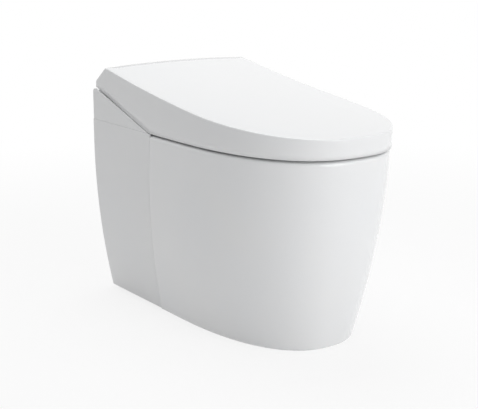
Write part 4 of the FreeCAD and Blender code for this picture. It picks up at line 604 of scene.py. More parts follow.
# ---------------------------------------------------------------- mesh building
class RowSkin:
    """A surface made row after row: each row is extruded from the last and put in its place."""

    def __init__(self, closed: bool) -> None:
        """Starts an empty mesh.

        Args:
            closed: Whether each row is a closed ring.
        """
        self.bm = bmesh.new()
        self.closed = closed
        self.column = self.bm.verts.layers.int.new("column")
        self.first: list[bmesh.types.BMEdge] = []
        self.edge: list[bmesh.types.BMEdge] = []

    def start(self, places: Sequence[Vector]) -> None:
        """Makes the first row.

        Args:
            places: The row's points, in order.
        """
        verts = []
        for number, place in enumerate(places):
            vert = self.bm.verts.new(place)
            vert[self.column] = number
            verts.append(vert)
        ends = verts[1:] + verts[:1] if self.closed else verts[1:]
        self.edge = [self.bm.edges.new((a, b)) for a, b in zip(verts, ends)]
        self.first = list(self.edge)

    def restart(self, places: Sequence[Vector], closed: bool) -> None:
        """Begins another patch of the same skin.

        Args:
            places: The first row's points, in order.
            closed: Whether each row of the patch is a closed ring.
        """
        self.closed = closed
        self.start(places)

    def extrude(self, places: Sequence[Vector]) -> None:
        """Extrudes the last row and moves the new one into place.

        Args:
            places: The new row's points, in the same order as the first row's.
        """
        made = bmesh.ops.extrude_edge_only(self.bm, edges=self.edge)["geom"]
        verts = {item for item in made if isinstance(item, bmesh.types.BMVert)}
        edges = [item for item in made if isinstance(item, bmesh.types.BMEdge)]
        self.edge = [edge for edge in edges if verts.issuperset(edge.verts)]
        for vert in verts:
            vert.co = places[vert[self.column]]

    def close_section(self) -> None:
        """Joins the last row back to the first, which makes a closed section."""
        bmesh.ops.bridge_loops(self.bm, edges=self.first + self.edge)

    def fill_ends(self) -> None:
        """Fills every open loop with a face."""
        loose = [e for e in self.bm.edges if e.is_boundary]
        bmesh.ops.holes_fill(self.bm, edges=loose, sides=0)

    def fill_last(self) -> None:
        """Fills the last row, which is a closed ring, with a fan to its middle."""
        made = bmesh.ops.contextual_create(self.bm, geom=self.edge)["faces"]
        bmesh.ops.poke(self.bm, faces=made)

    def finish(self) -> bmesh.types.BMesh:
        """The finished mesh, with doubles merged and faces turned outwards.

        Returns:
            The mesh, which belongs to the caller.
        """
        bmesh.ops.remove_doubles(self.bm, verts=self.bm.verts, dist=MERGE_DISTANCE)
        bmesh.ops.recalc_face_normals(self.bm, faces=self.bm.faces)
        return self.bm


@dataclass
class Builder:
    """Puts finished meshes into the scene as pieces of the object."""

    shop: FinishShop
    smooth_limit: float = math.radians(38)
    pieces: list[str] = field(default_factory=list)

    def place(
        self,
        name: str,
        bm: bmesh.types.BMesh,
        finish: str,
        body: str,
        nodes: Sequence[str],
        modify: Callable[[bpy.types.Object], None] | None = None,
    ) -> bpy.types.Object:
        """Turns a mesh into a piece that rides on a body and stands for constructed nodes.

        Args:
            name: The piece's name.
            bm: Its mesh, which is freed.
            finish: A key of FINISHES.
            body: The body that it moves with.
            nodes: The constructed nodes that it stands for.
            modify: Adds the piece's modifiers.

        Returns:
            The new object.
        """
        mesh = bpy.data.meshes.new(name)
        bm.to_mesh(mesh)
        bm.free()
        mesh.shade_smooth()
        mesh.set_sharp_from_angle(angle=self.smooth_limit)
        piece = bpy.data.objects.new(name, mesh)
        bpy.context.scene.collection.objects.link(piece)
        mesh.materials.append(self.shop.material(finish))
        if modify:
            modify(piece)
        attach(piece, body)
        if nodes:
            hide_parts(*nodes)
        self.pieces.append(name)
        LOG.info("modelled %s with %d faces", name, len(mesh.polygons))
        return piece


def add_bevel(piece: bpy.types.Object, width: float, segments: int = 3, marked: bool = False) -> None:
    """Rounds the sharp edges of a piece.

    Args:
        piece: The piece.
        width: How far the rounding reaches.
        segments: Faces across it.
        marked: Whether only the edges marked by their bevel weight are rounded.
    """
    bevel = piece.modifiers.new("edge_round", "BEVEL")
    bevel.width = width
    bevel.segments = segments
    bevel.limit_method = "WEIGHT" if marked else "ANGLE"
    bevel.angle_limit = SHARP_ANGLE
    bevel.harden_normals = True


def add_wall(piece: bpy.types.Object, thickness: float) -> None:
    """Gives an open skin its wall, inwards from the surface that is seen.

    Args:
        piece: The piece.
        thickness: The wall's thickness.
    """
    solid = piece.modifiers.new("wall", "SOLIDIFY")
    solid.thickness = thickness
    solid.offset = -1.0


# ---------------------------------------------------------------- ceramic
@dataclass
class CeramicSkirt:
    """Outer ceramic wall, open at the rear seam, with rounded rim and foot."""

    builder: Builder
    form: BodyForm = field(default_factory=BodyForm)
    outline: Outline = field(default_factory=Outline)
    wall: float = 0.011
    rim_round: float = 0.009
    foot_round: float = 0.006
    side_steps: int = 4
    levels: int = 22
    round_steps: int = 5
    foot_half: float = 0.150
    foot_rear: float = 0.332
    foot_reach: float = 0.071
    flange: float = 0.038
    flange_thick: float = 0.014
    plinth_wall: float = 0.012
    plinth_height: float = 0.090
    plinth_round: float = 0.002

    def row(self, z: float, inset: float) -> list[Vector]:
        """One row of the wall, from the right seam round the front to the left seam.

        Args:
            z: Its height.
            inset: How far it stands inside the outer form.

        Returns:
            The row's points.
        """
        half = self.form.half(z) - inset
        start = self.form.curve_start(z)
        seam = self.form.seam(z)
        front = self.outline.front(half, start, self.form.front(z) + inset)
        side = [seam + (start - seam) * n / self.side_steps for n in range(self.side_steps)]
        right = [Vector((-half, y, z)) for y in side]
        left = [Vector((half, y, z)) for y in reversed(side)]
        return right + [Vector((x, y, z)) for x, y in front] + left

    def build(self) -> bpy.types.Object:
        """Models the wall from the foot up, over the rim and down inside.

        Returns:
            The new object.
        """
        skin = RowSkin(closed=False)
        skin.start(self.row(0.0, self.foot_round))
        top = self.form.rim_top
        for n in range(1, self.round_steps + 1):
            turn = QUARTER_TURN * n / self.round_steps
            lift = self.foot_round * (1 - math.cos(turn))
            skin.extrude(self.row(lift, self.foot_round * (1 - math.sin(turn))))
        for n in range(1, self.levels + 1):
            share = n / self.levels
            z = self.foot_round + (top - self.rim_round - self.foot_round) * share
            skin.extrude(self.row(z, 0.0))
        for n in range(1, self.round_steps + 1):
            turn = QUARTER_TURN * n / self.round_steps
            z = top - self.rim_round * (1 - math.sin(turn))
            skin.extrude(self.row(z, self.rim_round * (1 - math.cos(turn))))
        skin.extrude(self.row(top, self.wall))
        for n in range(1, self.levels + 1):
            skin.extrude(self.row(top * (1 - n / self.levels), self.wall))
        skin.close_section()
        skin.fill_ends()
        self.builder.place("ceramic_wall", skin.finish(), "ceramic_glaze", "body", ["ceramic_skirt"])
        return self.build_foot()

    def foot_row(self, z: float, flange: float) -> list[Vector]:
        """One row of the foot behind the wall, a U that is open to the front.

        Args:
            z: Its height.
            flange: How wide its two sides are.

        Returns:
            The row's points.
        """
        half, rear, wall = self.foot_half, self.foot_rear, self.plinth_wall
        start = self.form.seam_base_y - (self.foot_reach if flange > wall else 0.0)
        inner = half - flange
        plan = [(-half, start), (-half, rear), (half, rear), (half, start)]
        plan += [(inner, start), (inner, rear - wall), (-inner, rear - wall), (-inner, start)]
        return [Vector((x, y, z)) for x, y in plan]

    def build_foot(self) -> bpy.types.Object:
        """Models the foot and the low wall round it, behind the seam.

        Returns:
            The new object.
        """
        skin = RowSkin(closed=True)
        skin.start(self.foot_row(0.0, self.flange))
        skin.extrude(self.foot_row(self.flange_thick, self.flange))
        skin.extrude(self.foot_row(self.flange_thick, self.plinth_wall))
        skin.extrude(self.foot_row(self.plinth_height, self.plinth_wall))
        skin.fill_ends()
        return self.builder.place(
            "ceramic_foot", skin.finish(), "ceramic_glaze", "body", [],
            lambda piece: add_bevel(piece, self.plinth_round),
        )


# ---------------------------------------------------------------- side panels and cheeks
@dataclass
class SidePanel:
    """Moulded side panel behind the seam."""

    builder: Builder
    side: Side
    form: BodyForm = field(default_factory=BodyForm)
    wall: float = 0.004
    low: float = 0.005
    top: float = 0.4089
    seam_gap: float = 0.0007
    edge_round: float = 0.0003
    levels: int = 24
    lengths: int = 6

    def build(self) -> bpy.types.Object:
        """Models the panel as rows up its height, then gives it its wall.

        Returns:
            The new object.
        """
        skin = RowSkin(closed=False)
        for n in range(self.levels + 1):
            z = self.low + (self.top - self.low) * n / self.levels
            start = self.form.seam(z) + self.seam_gap
            half = self.side.value * self.form.half(z)
            steps = [start + (self.form.rear_y - start) * k / self.lengths for k in range(self.lengths + 1)]
            places = [Vector((half, y, z)) for y in steps]
            if n:
                skin.extrude(places)
            else:
                skin.start(places)
        bm = skin.finish()
        if bm.faces[:][0].normal.x * self.side.value < 0:
            bmesh.ops.reverse_faces(bm, faces=bm.faces)
        return self.builder.place(
            f"panel_{self.side.label}", bm, "panel_moulding", "body", [f"side_panel_{self.side.label}"],
            self.modify,
        )

    def modify(self, piece: bpy.types.Object) -> None:
        """Gives the panel its wall and small edge rounds."""
        add_wall(piece, self.wall)
        add_bevel(piece, self.edge_round)


# ---------------------------------------------------------------- lid
class Place(Enum):
    """Where a column of the lid's mesh stands."""

    SIDE = "side"
    FRONT = "front"
    REAR = "rear"


@dataclass(frozen=True)
class LidColumn:
    """One column of the lid's mesh, followed from the lower edge to the middle of the top.

    The field across is the share of the half width. The field along is the y at the sides and the
    rear, and in front the share of the rounded part's depth, from 0 down to -1.
    """

    across: float
    along: float
    place: Place


@dataclass
class LidSkin:
    """What the lid's cover and the panel under it share: columns round the outline and rings inside."""

    builder: Builder
    form: LidForm = field(default_factory=LidForm)
    outline: Outline = field(default_factory=lambda: Outline(power=2.5))
    side_steps: int = 30
    rear_steps: int = 36
    rings: int = 18
    last_ring: float = 0.02
    centre: float = 0.02
    settle_steps: int = 8

    def wall_columns(self, rear_y: float) -> list[LidColumn]:
        """Columns from the right rear forward, round the front and back on the left side.

        Args:
            rear_y: Where the first and the last column stand.

        Returns:
            The columns, in order.
        """
        length = self.form.curve_start - rear_y
        side = [rear_y + length * n / self.side_steps for n in range(self.side_steps)]
        front = [LidColumn(x, y, Place.FRONT) for x, y in self.outline.front(1.0, 0.0, -1.0)]
        right = [LidColumn(-1.0, y, Place.SIDE) for y in side]
        left = [LidColumn(1.0, y, Place.SIDE) for y in reversed(side)]
        return right + front + left

    def rear_columns(self, rear_y: float) -> list[LidColumn]:
        """Columns across the rear, from left to right."""
        steps = range(1, self.rear_steps)
        return [LidColumn(1 - 2 * n / self.rear_steps, rear_y, Place.REAR) for n in steps]

    def flat(self, column: LidColumn, z: float, inset: float) -> tuple[float, float]:
        """A column's place in plan.

        Args:
            column: The column.
            z: The height at which the skirt is met, which sets its lean.
            inset: Distance in from the skirt.

        Returns:
            The x and the y.
        """
        form = self.form
        if column.place is not Place.FRONT:
            return column.across * (form.skirt_half(z) - inset), column.along
        half = form.skirt_half(z, -column.along) - inset
        front = form.front_y + form.lean(-column.along) * (z - form.low) + inset
        return column.across * half, form.curve_start + (form.curve_start - front) * column.along

    def top_height(self, column: LidColumn) -> float:
        """Height at which the skirt's line reaches the top surface.

        Args:
            column: The column.

        Returns:
            The height, found by stepping towards it.
        """
        z = self.form.front_top
        for _ in range(self.settle_steps):
            z = self.form.top(*self.flat(column, z, 0.0)).z
        return z

    def add_rings(self, skin: RowSkin, starts: Sequence[tuple[float, float]], drop: float) -> None:
        """Fills the outline with rings that shrink to the middle of the top.

        Args:
            skin: The skin, whose last row is the outline.
            starts: The outline's points in plan.
            drop: How far the rings lie below the top surface.
        """
        for n in range(1, self.rings + 1):
            keep = 1 - (1 - self.last_ring) * n / self.rings
            row = [self.form.top(x * keep, self.centre + (y - self.centre) * keep) for x, y in starts]
            skin.extrude([place - Vector((0.0, 0.0, drop)) for place in row])
        skin.fill_last()


@dataclass
class Lid(LidSkin):
    """Lid cover: leaning skirt under a bowed and crowned top, with a slanting rear."""

    wall: float = 0.0035
    edge_round: float = 0.0026
    round_steps: int = 5
    wall_rows: int = 4

    def low_place(self, column: LidColumn) -> Vector:
        """A column's point on the skirt's lower edge.

        Args:
            column: The column.

        Returns:
            The point, found by stepping towards it.
        """
        z = self.form.low
        for _ in range(self.settle_steps):
            x, y = self.flat(column, z, 0.0)
            z = self.form.lower_edge(y)
        return Vector((x, y, z))

    def rounded_place(self, column: LidColumn, turn: float) -> Vector:
        """A column's point on the rounded edge between skirt and top.

        Args:
            column: The column.
            turn: Angle round the edge, from 0 at the skirt to a quarter turn at the top.

        Returns:
            The point.
        """
        inset = self.edge_round * (1 - math.cos(turn))
        place = self.form.top(*self.flat(column, self.top_height(column), inset))
        place.z -= self.edge_round * (1 - math.sin(turn))
        return place

    def turns(self) -> list[float]:
        """Angles of the rows round an edge."""
        return [QUARTER_TURN * n / self.round_steps for n in range(self.round_steps + 1)]

    def rear_row(self, y: float, z: float, turn: float) -> list[Vector]:
        """Points across the rear, with the rounded edges at both ends.

        Args:
            y: The row's y on the rear surface.
            z: Its height there at the sides.
            turn: Angle of the outward normal from upright.

        Returns:
            The row, from the right side wall to the left one.
        """
        middle_z = z + self.form.crown
        half = self.form.skirt_half(z)
        for _ in range(self.settle_steps):
            half = self.form.skirt_half(self.form.lowered(half, middle_z))
        lean = max(0.0, turn)
        corner = []
        for edge in self.turns():
            back = self.edge_round * (1 - math.sin(edge))
            x = half - self.edge_round * (1 - math.cos(edge))
            height = self.form.lowered(x, middle_z)
            corner.append((x, y - back * math.sin(lean), height - back * math.cos(lean)))
        right = [Vector((-x, depth, height)) for x, depth, height in corner]
        left = [Vector(place) for place in reversed(corner)]
        steps = range(1, self.rear_steps)
        across = [(2 * n / self.rear_steps - 1) * half for n in steps]
        return right + [Vector((x, y, self.form.lowered(x, middle_z))) for x in across] + left

    def rear_rows(self) -> list[list[Vector]]:
        """Rows from the crest down to the lower edge of the rear face.

        Returns:
            The rows, each from the right side wall to the left one.
        """
        path = self.form.rear_path()
        rows = [self.rear_row(*point) for point in path]
        last = rows[-1]
        half = last[-1].x
        bottom = []
        for place in last:
            low = self.form.lower_edge(place.y)
            bottom.append(Vector((place.x * self.form.skirt_half(low) / half, place.y, low)))
        for n in range(1, self.wall_rows + 1):
            rows.append([a.lerp(b, n / self.wall_rows) for a, b in zip(last, bottom)])
        return rows

    def add_rear(self, skin: RowSkin) -> None:
        """Adds the slanting rear and the two side walls beside it.

        Args:
            skin: The skin that has the skirt and the top already.
        """
        rows = self.rear_rows()
        skin.restart(rows[0], closed=False)
        for row in rows[1:]:
            skin.extrude(row)
        for end in (0, -1):
            columns = [self.wall_column(row[end]) for row in rows[:-self.wall_rows]]
            skin.restart(columns[0], closed=False)
            for column in columns[1:]:
                skin.extrude(column)

    def wall_column(self, top: Vector) -> list[Vector]:
        """Points from the slanting joint up to a point on the side wall's upper edge.

        Args:
            top: The upper point.

        Returns:
            The points, from the joint up.
        """
        low = self.form.lower_edge(top.y)
        foot = Vector((math.copysign(self.form.skirt_half(low), top.x), top.y, low))
        return [foot.lerp(top, n / self.wall_rows) for n in range(self.wall_rows + 1)]

    def build(self) -> bpy.types.Object:
        """Models the skirt upwards from its lower edge, the top ring by ring, then the rear.

        Returns:
            The new object.
        """
        crest = self.form.rear_path()[0][0]
        columns = self.wall_columns(crest)
        low = [self.low_place(column) for column in columns]
        edge = [self.rounded_place(column, 0.0) for column in columns]
        skin = RowSkin(closed=False)
        skin.start(low)
        for n in range(1, self.wall_rows + 1):
            skin.extrude([a.lerp(b, n / self.wall_rows) for a, b in zip(low, edge)])
        for turn in self.turns()[1:]:
            skin.extrude([self.rounded_place(column, turn) for column in columns])
        starts = [self.flat(c, self.top_height(c), self.edge_round) for c in columns]
        starts += [self.flat(c, self.top_height(c), 0.0) for c in self.rear_columns(crest)]
        skin.restart([self.form.top(x, y) for x, y in starts], closed=True)
        self.add_rings(skin, starts, 0.0)
        self.add_rear(skin)
        return self.builder.place(
            "lid_cover", skin.finish(), "lid_moulding", "lid", ["lid_shell"], self.modify,
        )

    def modify(self, piece: bpy.types.Object) -> None:
        """Gives the lid its wall."""
        add_wall(piece, self.wall)


@dataclass
class LidPanel(LidSkin):
    """Panel under the lid's top, which closes the lid from below."""

    wall: float = 0.0025
    inset: float = 0.0037
    rear_y: float = 0.2745
    edge_round: float = 0.0008

    def build(self) -> bpy.types.Object:
        """Models the panel as rings inside its outline.

        Returns:
            The new object.
        """
        columns = self.wall_columns(self.rear_y) + self.rear_columns(self.rear_y)
        starts = [self.flat(c, self.top_height(c) - self.inset, self.inset) for c in columns]
        skin = RowSkin(closed=True)
        skin.start([self.form.top(x, y) - Vector((0.0, 0.0, self.inset)) for x, y in starts])
        self.add_rings(skin, starts, self.inset)
        return self.builder.place(
            "lid_panel", skin.finish(), "inner_moulding", "lid", ["lid_liner"], self.modify,
        )

    def modify(self, piece: bpy.types.Object) -> None:
        """Gives the panel its thickness and small edge rounds."""
        add_wall(piece, self.wall)
        add_bevel(piece, self.edge_round)


@dataclass
class HingePlate:
    """Upright plate that carries an end of the lid's shaft, just inside the lid's side wall."""

    builder: Builder
    side: Side
    hinge_y: float = 0.290
    hinge_z: float = 0.4685
    radius: float = 0.050
    bore: float = 0.0075
    inner_x: float = 0.1846
    thick: float = 0.0024
    foot_front: float = 0.242
    foot_rear: float = 0.288
    foot_z: float = 0.4065
    steps: int = 64
    edge_round: float = 0.0005

    def outline_point(self, n: int) -> Vector:
        """A point of the plate's edge: an arc over the shaft that runs down into the foot.

        Args:
            n: The point's number, from 0 to the number of steps.

        Returns:
            The point, on the plate's inner face.
        """
        turn = 2 * math.pi * n / self.steps
        y = self.hinge_y + self.radius * math.sin(turn)
        z = self.hinge_z + self.radius * math.cos(turn)
        if math.cos(turn) < 0 and self.foot_front <= y <= self.foot_rear:
            z = self.foot_z
        return Vector((self.inner_x * self.side.value, y, z))

    def build(self) -> bpy.types.Object:
        """Models the plate round its bore, then gives it its thickness.

        Returns:
            The new object.
        """
        skin = RowSkin(closed=True)
        skin.start([self.outline_point(n) for n in range(self.steps)])
        centre = Vector((self.inner_x * self.side.value, self.hinge_y, self.hinge_z))
        rim = [self.outline_point(n) - centre for n in range(self.steps)]
        skin.extrude([centre + arm.normalized() * self.bore for arm in rim])
        outer = Vector((self.thick * self.side.value, 0.0, 0.0))
        skin.extrude([centre + arm.normalized() * self.bore + outer for arm in rim])
        skin.extrude([centre + arm + outer for arm in rim])
        skin.close_section()
        return self.builder.place(
            f"hinge_plate_{self.side.label}", skin.finish(), "inner_moulding", "body", [],
            lambda piece: add_bevel(piece, self.edge_round),
        )


# ---------------------------------------------------------------- seat
@dataclass
class SeatShell:
    """Upper shell of the seat: a ring with two rear legs and a rounded edge all round."""

    builder: Builder
    outline: Outline = field(default_factory=Outline)
    half_width: float = 0.186
    curve_start: float = -0.009
    front_y: float = -0.3365
    rear_y: float = 0.112
    bridge_y: float = 0.052
    notch_half: float = 0.078
    hole_y: float = -0.134
    hole_half_length: float = 0.138
    hole_half_width: float = 0.106
    low: float = 0.420
    top: float = 0.436
    edge_round: float = 0.007
    round_steps: int = 6
    wall: float = 0.0035
    leg_steps: int = 6

    def outer(self, inset: float, z: float) -> list[Vector]:
        """The outer edge, with the notch at the rear.

        Args:
            inset: Distance in from the edge.
            z: Its height.

        Returns:
            A closed row of points, from the right rear corner round the front.
        """
        half = self.half_width - inset
        start = self.curve_start
        rear, bridge, notch = self.rear_y - inset, self.bridge_y - inset, self.notch_half + inset
        steps = self.leg_steps
        side = [rear + (start - rear) * n / steps for n in range(steps)]
        end = [notch + (half - notch) * n / steps for n in range(steps)]
        leg = [bridge + (rear - bridge) * n / steps for n in range(steps)]
        across = [-notch + notch * n / steps for n in range(1, 2 * steps)]
        front = self.outline.front(half, start, self.front_y + inset)
        plan = [(-half, y) for y in side] + front + [(half, y) for y in reversed(side)]
        plan += [(x, rear) for x in reversed(end)] + [(notch, y) for y in reversed(leg)]
        plan += [(x, bridge) for x in reversed(across)] + [(-notch, y) for y in leg]
        plan += [(-x, rear) for x in end]
        return [Vector((x, y, z)) for x, y in plan]

    def hole(self, grow: float, z: float) -> list[Vector]:
        """The edge of the hole, one point for each point of the outer edge.

        Args:
            grow: Distance out from the hole's own edge.
            z: Its height.

        Returns:
            A closed row of points.
        """
        row = []
        for place in self.outer(self.edge_round, z):
            ahead = (place.y - self.hole_y) / self.hole_half_length
            angle = math.atan2(place.x / self.hole_half_width, ahead)
            x = (self.hole_half_width + grow) * math.sin(angle)
            y = self.hole_y + (self.hole_half_length + grow) * math.cos(angle)
            row.append(Vector((x, y, z)))
        return row

    def build(self) -> bpy.types.Object:
        """Models the shell over its outer edge, across its top and down the hole.

        Returns:
            The new object.
        """
        skin = RowSkin(closed=True)
        skin.start(self.outer(0.0, self.low))
        turns = [QUARTER_TURN * n / self.round_steps for n in range(self.round_steps + 1)]
        for turn in turns:
            z = self.top - self.edge_round * (1 - math.sin(turn))
            skin.extrude(self.outer(self.edge_round * (1 - math.cos(turn)), z))
        for turn in reversed(turns):
            z = self.top - self.edge_round * (1 - math.sin(turn))
            skin.extrude(self.hole(self.edge_round * (1 - math.cos(turn)), z))
        skin.extrude(self.hole(0.0, self.low))
        return self.builder.place(
            "seat_cover", skin.finish(), "seat_moulding", "seat", ["seat_top"], self.modify,
        )

    def modify(self, piece: bpy.types.Object) -> None:
        """Gives the shell its wall."""
        add_wall(piece, self.wall)


# ---------------------------------------------------------------- constructed pieces with rounded edges
@dataclass(frozen=True)
class Softened:
    """A constructed node that is shown with its sharp edges rounded."""

    node: str
    width: float
    segments: int = 3


SOFTENED: tuple[Softened, ...] = (
    Softened("ceramic_rim", 0.003, 4),
    Softened("cheek_right", 0.0003, 2),
    Softened("cheek_left", 0.0003, 2),
    Softened("case_top", 0.0012),
    Softened("case_base", 0.0010),
    Softened("rear_panel", 0.0010),
    Softened("seat_base", 0.0012),
    Softened("lid_arm_right", 0.0010),
    Softened("lid_arm_left", 0.0010),
    Softened("nozzle_guard", 0.0005),
    Softened("dryer_flap", 0.0004, 2),
    Softened("lid_buffers", 0.0008),
    Softened("seat_buffers", 0.0005),
    Softened("sensor_window", 0.0003, 2),
    Softened("wand_tip", 0.0006),
)


@dataclass
class SoftenedPieces:
    """Copies of constructed nodes whose sharp edges get a small round."""

    builder: Builder
    flat_limit: float = math.radians(0.3)
    sharp_limit: float = SHARP_ANGLE
    small_hole_step: float = 0.0008

    def build(self) -> None:
        """Makes every softened copy."""
        for plan in SOFTENED:
            if plan.node in frame["nodes"]:
                self.soften(plan)

    def soften(self, plan: Softened) -> bpy.types.Object:
        """Makes one softened copy.

        Args:
            plan: The node and the size of its rounds.

        Returns:
            The new object.
        """
        source = frame["nodes"][plan.node]
        bm = bmesh.new()
        bm.from_mesh(source.data)
        bmesh.ops.remove_doubles(bm, verts=bm.verts, dist=MERGE_DISTANCE)
        bmesh.ops.dissolve_limit(bm, angle_limit=self.flat_limit, verts=bm.verts, edges=bm.edges)
        bmesh.ops.recalc_face_normals(bm, faces=bm.faces)
        self.mark_outer_edges(bm)
        finish = NODE_FINISH.get(plan.node, DEFAULT_FINISH)
        return self.builder.place(
            plan.node + "_softened", bm, finish, source["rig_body"], [plan.node],
            lambda piece: add_bevel(piece, plan.width, plan.segments, marked=True),
        )

    def mark_outer_edges(self, bm: bmesh.types.BMesh) -> None:
        """Marks the sharp edges that stand out; inner corners and small close-fitting holes stay as built.

        Args:
            bm: The mesh to mark.
        """
        weight = bm.edges.layers.float.new("bevel_weight_edge")
        for edge in bm.edges:
            stands_out = edge.is_convex and edge.calc_face_angle(0.0) > self.sharp_limit
            if stands_out and edge.calc_length() > self.small_hole_step:
                edge[weight] = 1.0


# ---------------------------------------------------------------- what keeps its constructed shape
@dataclass
class ConstructedPieces:
    """Constructed nodes that keep their shape and get their finish here."""

    shop: FinishShop

    def dress(self) -> None:
        """Gives every constructed node the material of its finish."""
        for name, node in frame["nodes"].items():
            finish = NODE_FINISH.get(name, DEFAULT_FINISH)
            node.data.materials.clear()
            node.data.materials.append(self.shop.material(finish))
            LOG.info("dressed %s in %s", name, finish)


# ---------------------------------------------------------------- studio
@dataclass(frozen=True)
class Lamp:
    """One soft rectangular lamp that points at the object."""

    name: str
    place: tuple[float, float, float]
    size: tuple[float, float]
    power: float
    target: tuple[float, float, float] = (0.0, 0.0, 0.30)


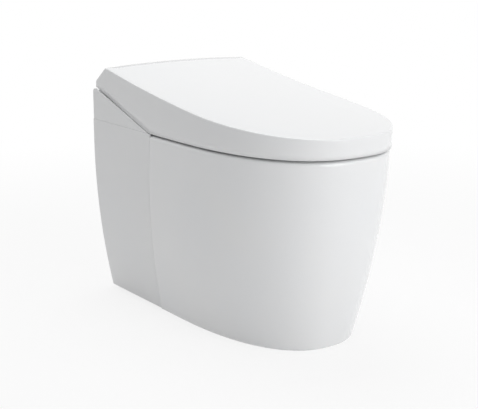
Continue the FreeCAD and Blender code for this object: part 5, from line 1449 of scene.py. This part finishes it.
@dataclass
class Studio:
    """Floor, surrounding light, lamps and the photograph's camera."""

    floor_half: float = 30.0
    near_floor: float = 0.7
    far_floor: float = 2.2
    camera_place: tuple[float, float, float] = (-1.4193, -1.9203, 0.8406)
    camera_azimuth: float = -35.72
    camera_elevation: float = 13.96
    lens: float = 84.89
    sensor_width: float = 36.0
    floor_roughness: float = 0.9
    ground: tuple[float, float, float] = (0.93, 0.93, 0.93)
    plain_share: float = 0.80
    surround: float = 0.39
    lamps: tuple[Lamp, ...] = (
        Lamp("overhead", (0.2, -0.3, 2.6), (3.0, 3.0), 9.0),
        Lamp("overhead_rear", (0.3, 0.9, 2.6), (2.0, 2.0), 25.5),
        Lamp("front", (0.2, -3.0, 1.5), (2.0, 2.0), 31.5),
        Lamp("front_right", (2.4, -2.4, 1.5), (2.0, 2.0), 8.0),
        Lamp("front_low", (0.8, -3.0, 0.7), (1.2, 1.2), 3.2),
        Lamp("rear", (-1.2, 2.6, 1.6), (2.0, 2.0), 2.0),
    )

    def build(self) -> None:
        """Makes the whole studio."""
        self.make_floor()
        self.make_surround()
        for lamp in self.lamps:
            self.make_lamp(lamp)
        self.make_camera()
        bpy.context.scene.view_settings.view_transform = "Standard"

    def make_floor(self) -> None:
        """A pale floor that the camera sees as plain white with the object's soft shadow."""
        bm = bmesh.new()
        bmesh.ops.create_grid(bm, x_segments=1, y_segments=1, size=self.floor_half)
        mesh = bpy.data.meshes.new("floor")
        bm.to_mesh(mesh)
        bm.free()
        floor = bpy.data.objects.new("floor", mesh)
        bpy.context.scene.collection.objects.link(floor)
        material = bpy.data.materials.new("pale_floor")
        material.use_nodes = True
        nodes, links = material.node_tree.nodes, material.node_tree.links
        shader = nodes["Principled BSDF"]
        shader.inputs["Base Color"].default_value = (*self.ground, 1.0)
        shader.inputs["Roughness"].default_value = self.floor_roughness
        shader.inputs["Specular IOR Level"].default_value = 0.0
        glow = nodes.new("ShaderNodeEmission")
        place = nodes.new("ShaderNodeTexCoord")
        distance = nodes.new("ShaderNodeVectorMath")
        distance.operation = "LENGTH"
        links.new(place.outputs["Object"], distance.inputs[0])
        plain = nodes.new("ShaderNodeMapRange")
        plain.interpolation_type = "SMOOTHSTEP"
        plain.inputs["From Min"].default_value = self.near_floor
        plain.inputs["From Max"].default_value = self.far_floor
        plain.inputs["To Min"].default_value = self.plain_share
        plain.inputs["To Max"].default_value = 1.0
        links.new(distance.outputs["Value"], plain.inputs["Value"])
        share = nodes.new("ShaderNodeMath")
        share.operation = "MULTIPLY"
        links.new(self.seen_directly(nodes, links), share.inputs[0])
        links.new(plain.outputs["Result"], share.inputs[1])
        mix = nodes.new("ShaderNodeMixShader")
        links.new(share.outputs["Value"], mix.inputs["Fac"])
        links.new(shader.outputs["BSDF"], mix.inputs[1])
        links.new(glow.outputs["Emission"], mix.inputs[2])
        links.new(mix.outputs["Shader"], nodes["Material Output"].inputs["Surface"])
        mesh.materials.append(material)

    @staticmethod
    def seen_directly(nodes: bpy.types.Nodes, links: bpy.types.NodeLinks) -> bpy.types.NodeSocket:
        """Adds the mask of rays that show the backdrop itself: straight, mirrored or through glass.

        Args:
            nodes: The nodes of the material or world.
            links: Its links.

        Returns:
            The socket that is 1 for those rays and 0 for rays that only carry light.
        """
        path = nodes.new("ShaderNodeLightPath")
        mirrored = nodes.new("ShaderNodeMath")
        mirrored.operation = "MAXIMUM"
        links.new(path.outputs["Is Camera Ray"], mirrored.inputs[0])
        links.new(path.outputs["Is Glossy Ray"], mirrored.inputs[1])
        seen = nodes.new("ShaderNodeMath")
        seen.operation = "MAXIMUM"
        links.new(mirrored.outputs["Value"], seen.inputs[0])
        links.new(path.outputs["Is Transmission Ray"], seen.inputs[1])
        return seen.outputs["Value"]

    def make_surround(self) -> None:
        """Even light from all round, seen by the camera and by reflections as white."""
        world = bpy.data.worlds.new("surround")
        bpy.context.scene.world = world
        world.use_nodes = True
        nodes, links = world.node_tree.nodes, world.node_tree.links
        back = nodes["Background"]
        back.inputs["Color"].default_value = (1.0, 1.0, 1.0, 1.0)
        level = nodes.new("ShaderNodeMapRange")
        level.inputs["To Min"].default_value = self.surround
        level.inputs["To Max"].default_value = 1.0
        links.new(self.seen_directly(nodes, links), level.inputs["Value"])
        links.new(level.outputs["Result"], back.inputs["Strength"])

    def make_lamp(self, lamp: Lamp) -> None:
        """Adds one lamp.

        Args:
            lamp: Its place, size and power.
        """
        light = bpy.data.lights.new(lamp.name, "AREA")
        light.shape = "RECTANGLE"
        light.size, light.size_y = lamp.size
        light.energy = lamp.power
        holder = bpy.data.objects.new(lamp.name, light)
        holder.location = lamp.place
        aim = Vector(lamp.target) - Vector(lamp.place)
        holder.rotation_euler = aim.to_track_quat("-Z", "Y").to_euler()
        bpy.context.scene.collection.objects.link(holder)

    def make_camera(self) -> None:
        """Puts the camera where the photograph was taken from."""
        camera = bpy.data.cameras.new("camera")
        camera.lens = self.lens
        camera.sensor_width = self.sensor_width
        camera.sensor_fit = "HORIZONTAL"
        holder = bpy.data.objects.new("camera", camera)
        holder.location = self.camera_place
        tilt = math.radians(90 - self.camera_elevation)
        holder.rotation_euler = (tilt, 0.0, math.radians(self.camera_azimuth))
        bpy.context.scene.collection.objects.link(holder)
        bpy.context.scene.camera = holder


def main() -> None:
    """Builds the studio and every piece of the object."""
    logging.basicConfig(level=logging.INFO, format="%(name)s: %(message)s")
    shop = FinishShop()
    builder = Builder(shop)
    ConstructedPieces(shop).dress()
    CeramicSkirt(builder).build()
    for side in Side:
        SidePanel(builder, side).build()
    Lid(builder).build()
    LidPanel(builder).build()
    for side in Side:
        HingePlate(builder, side).build()
    SeatShell(builder).build()
    SoftenedPieces(builder).build()
    Studio().build()
    LOG.info("%d pieces modelled, %d constructed", len(builder.pieces), len(frame["nodes"]))


if __name__ == "__main__":
    main()
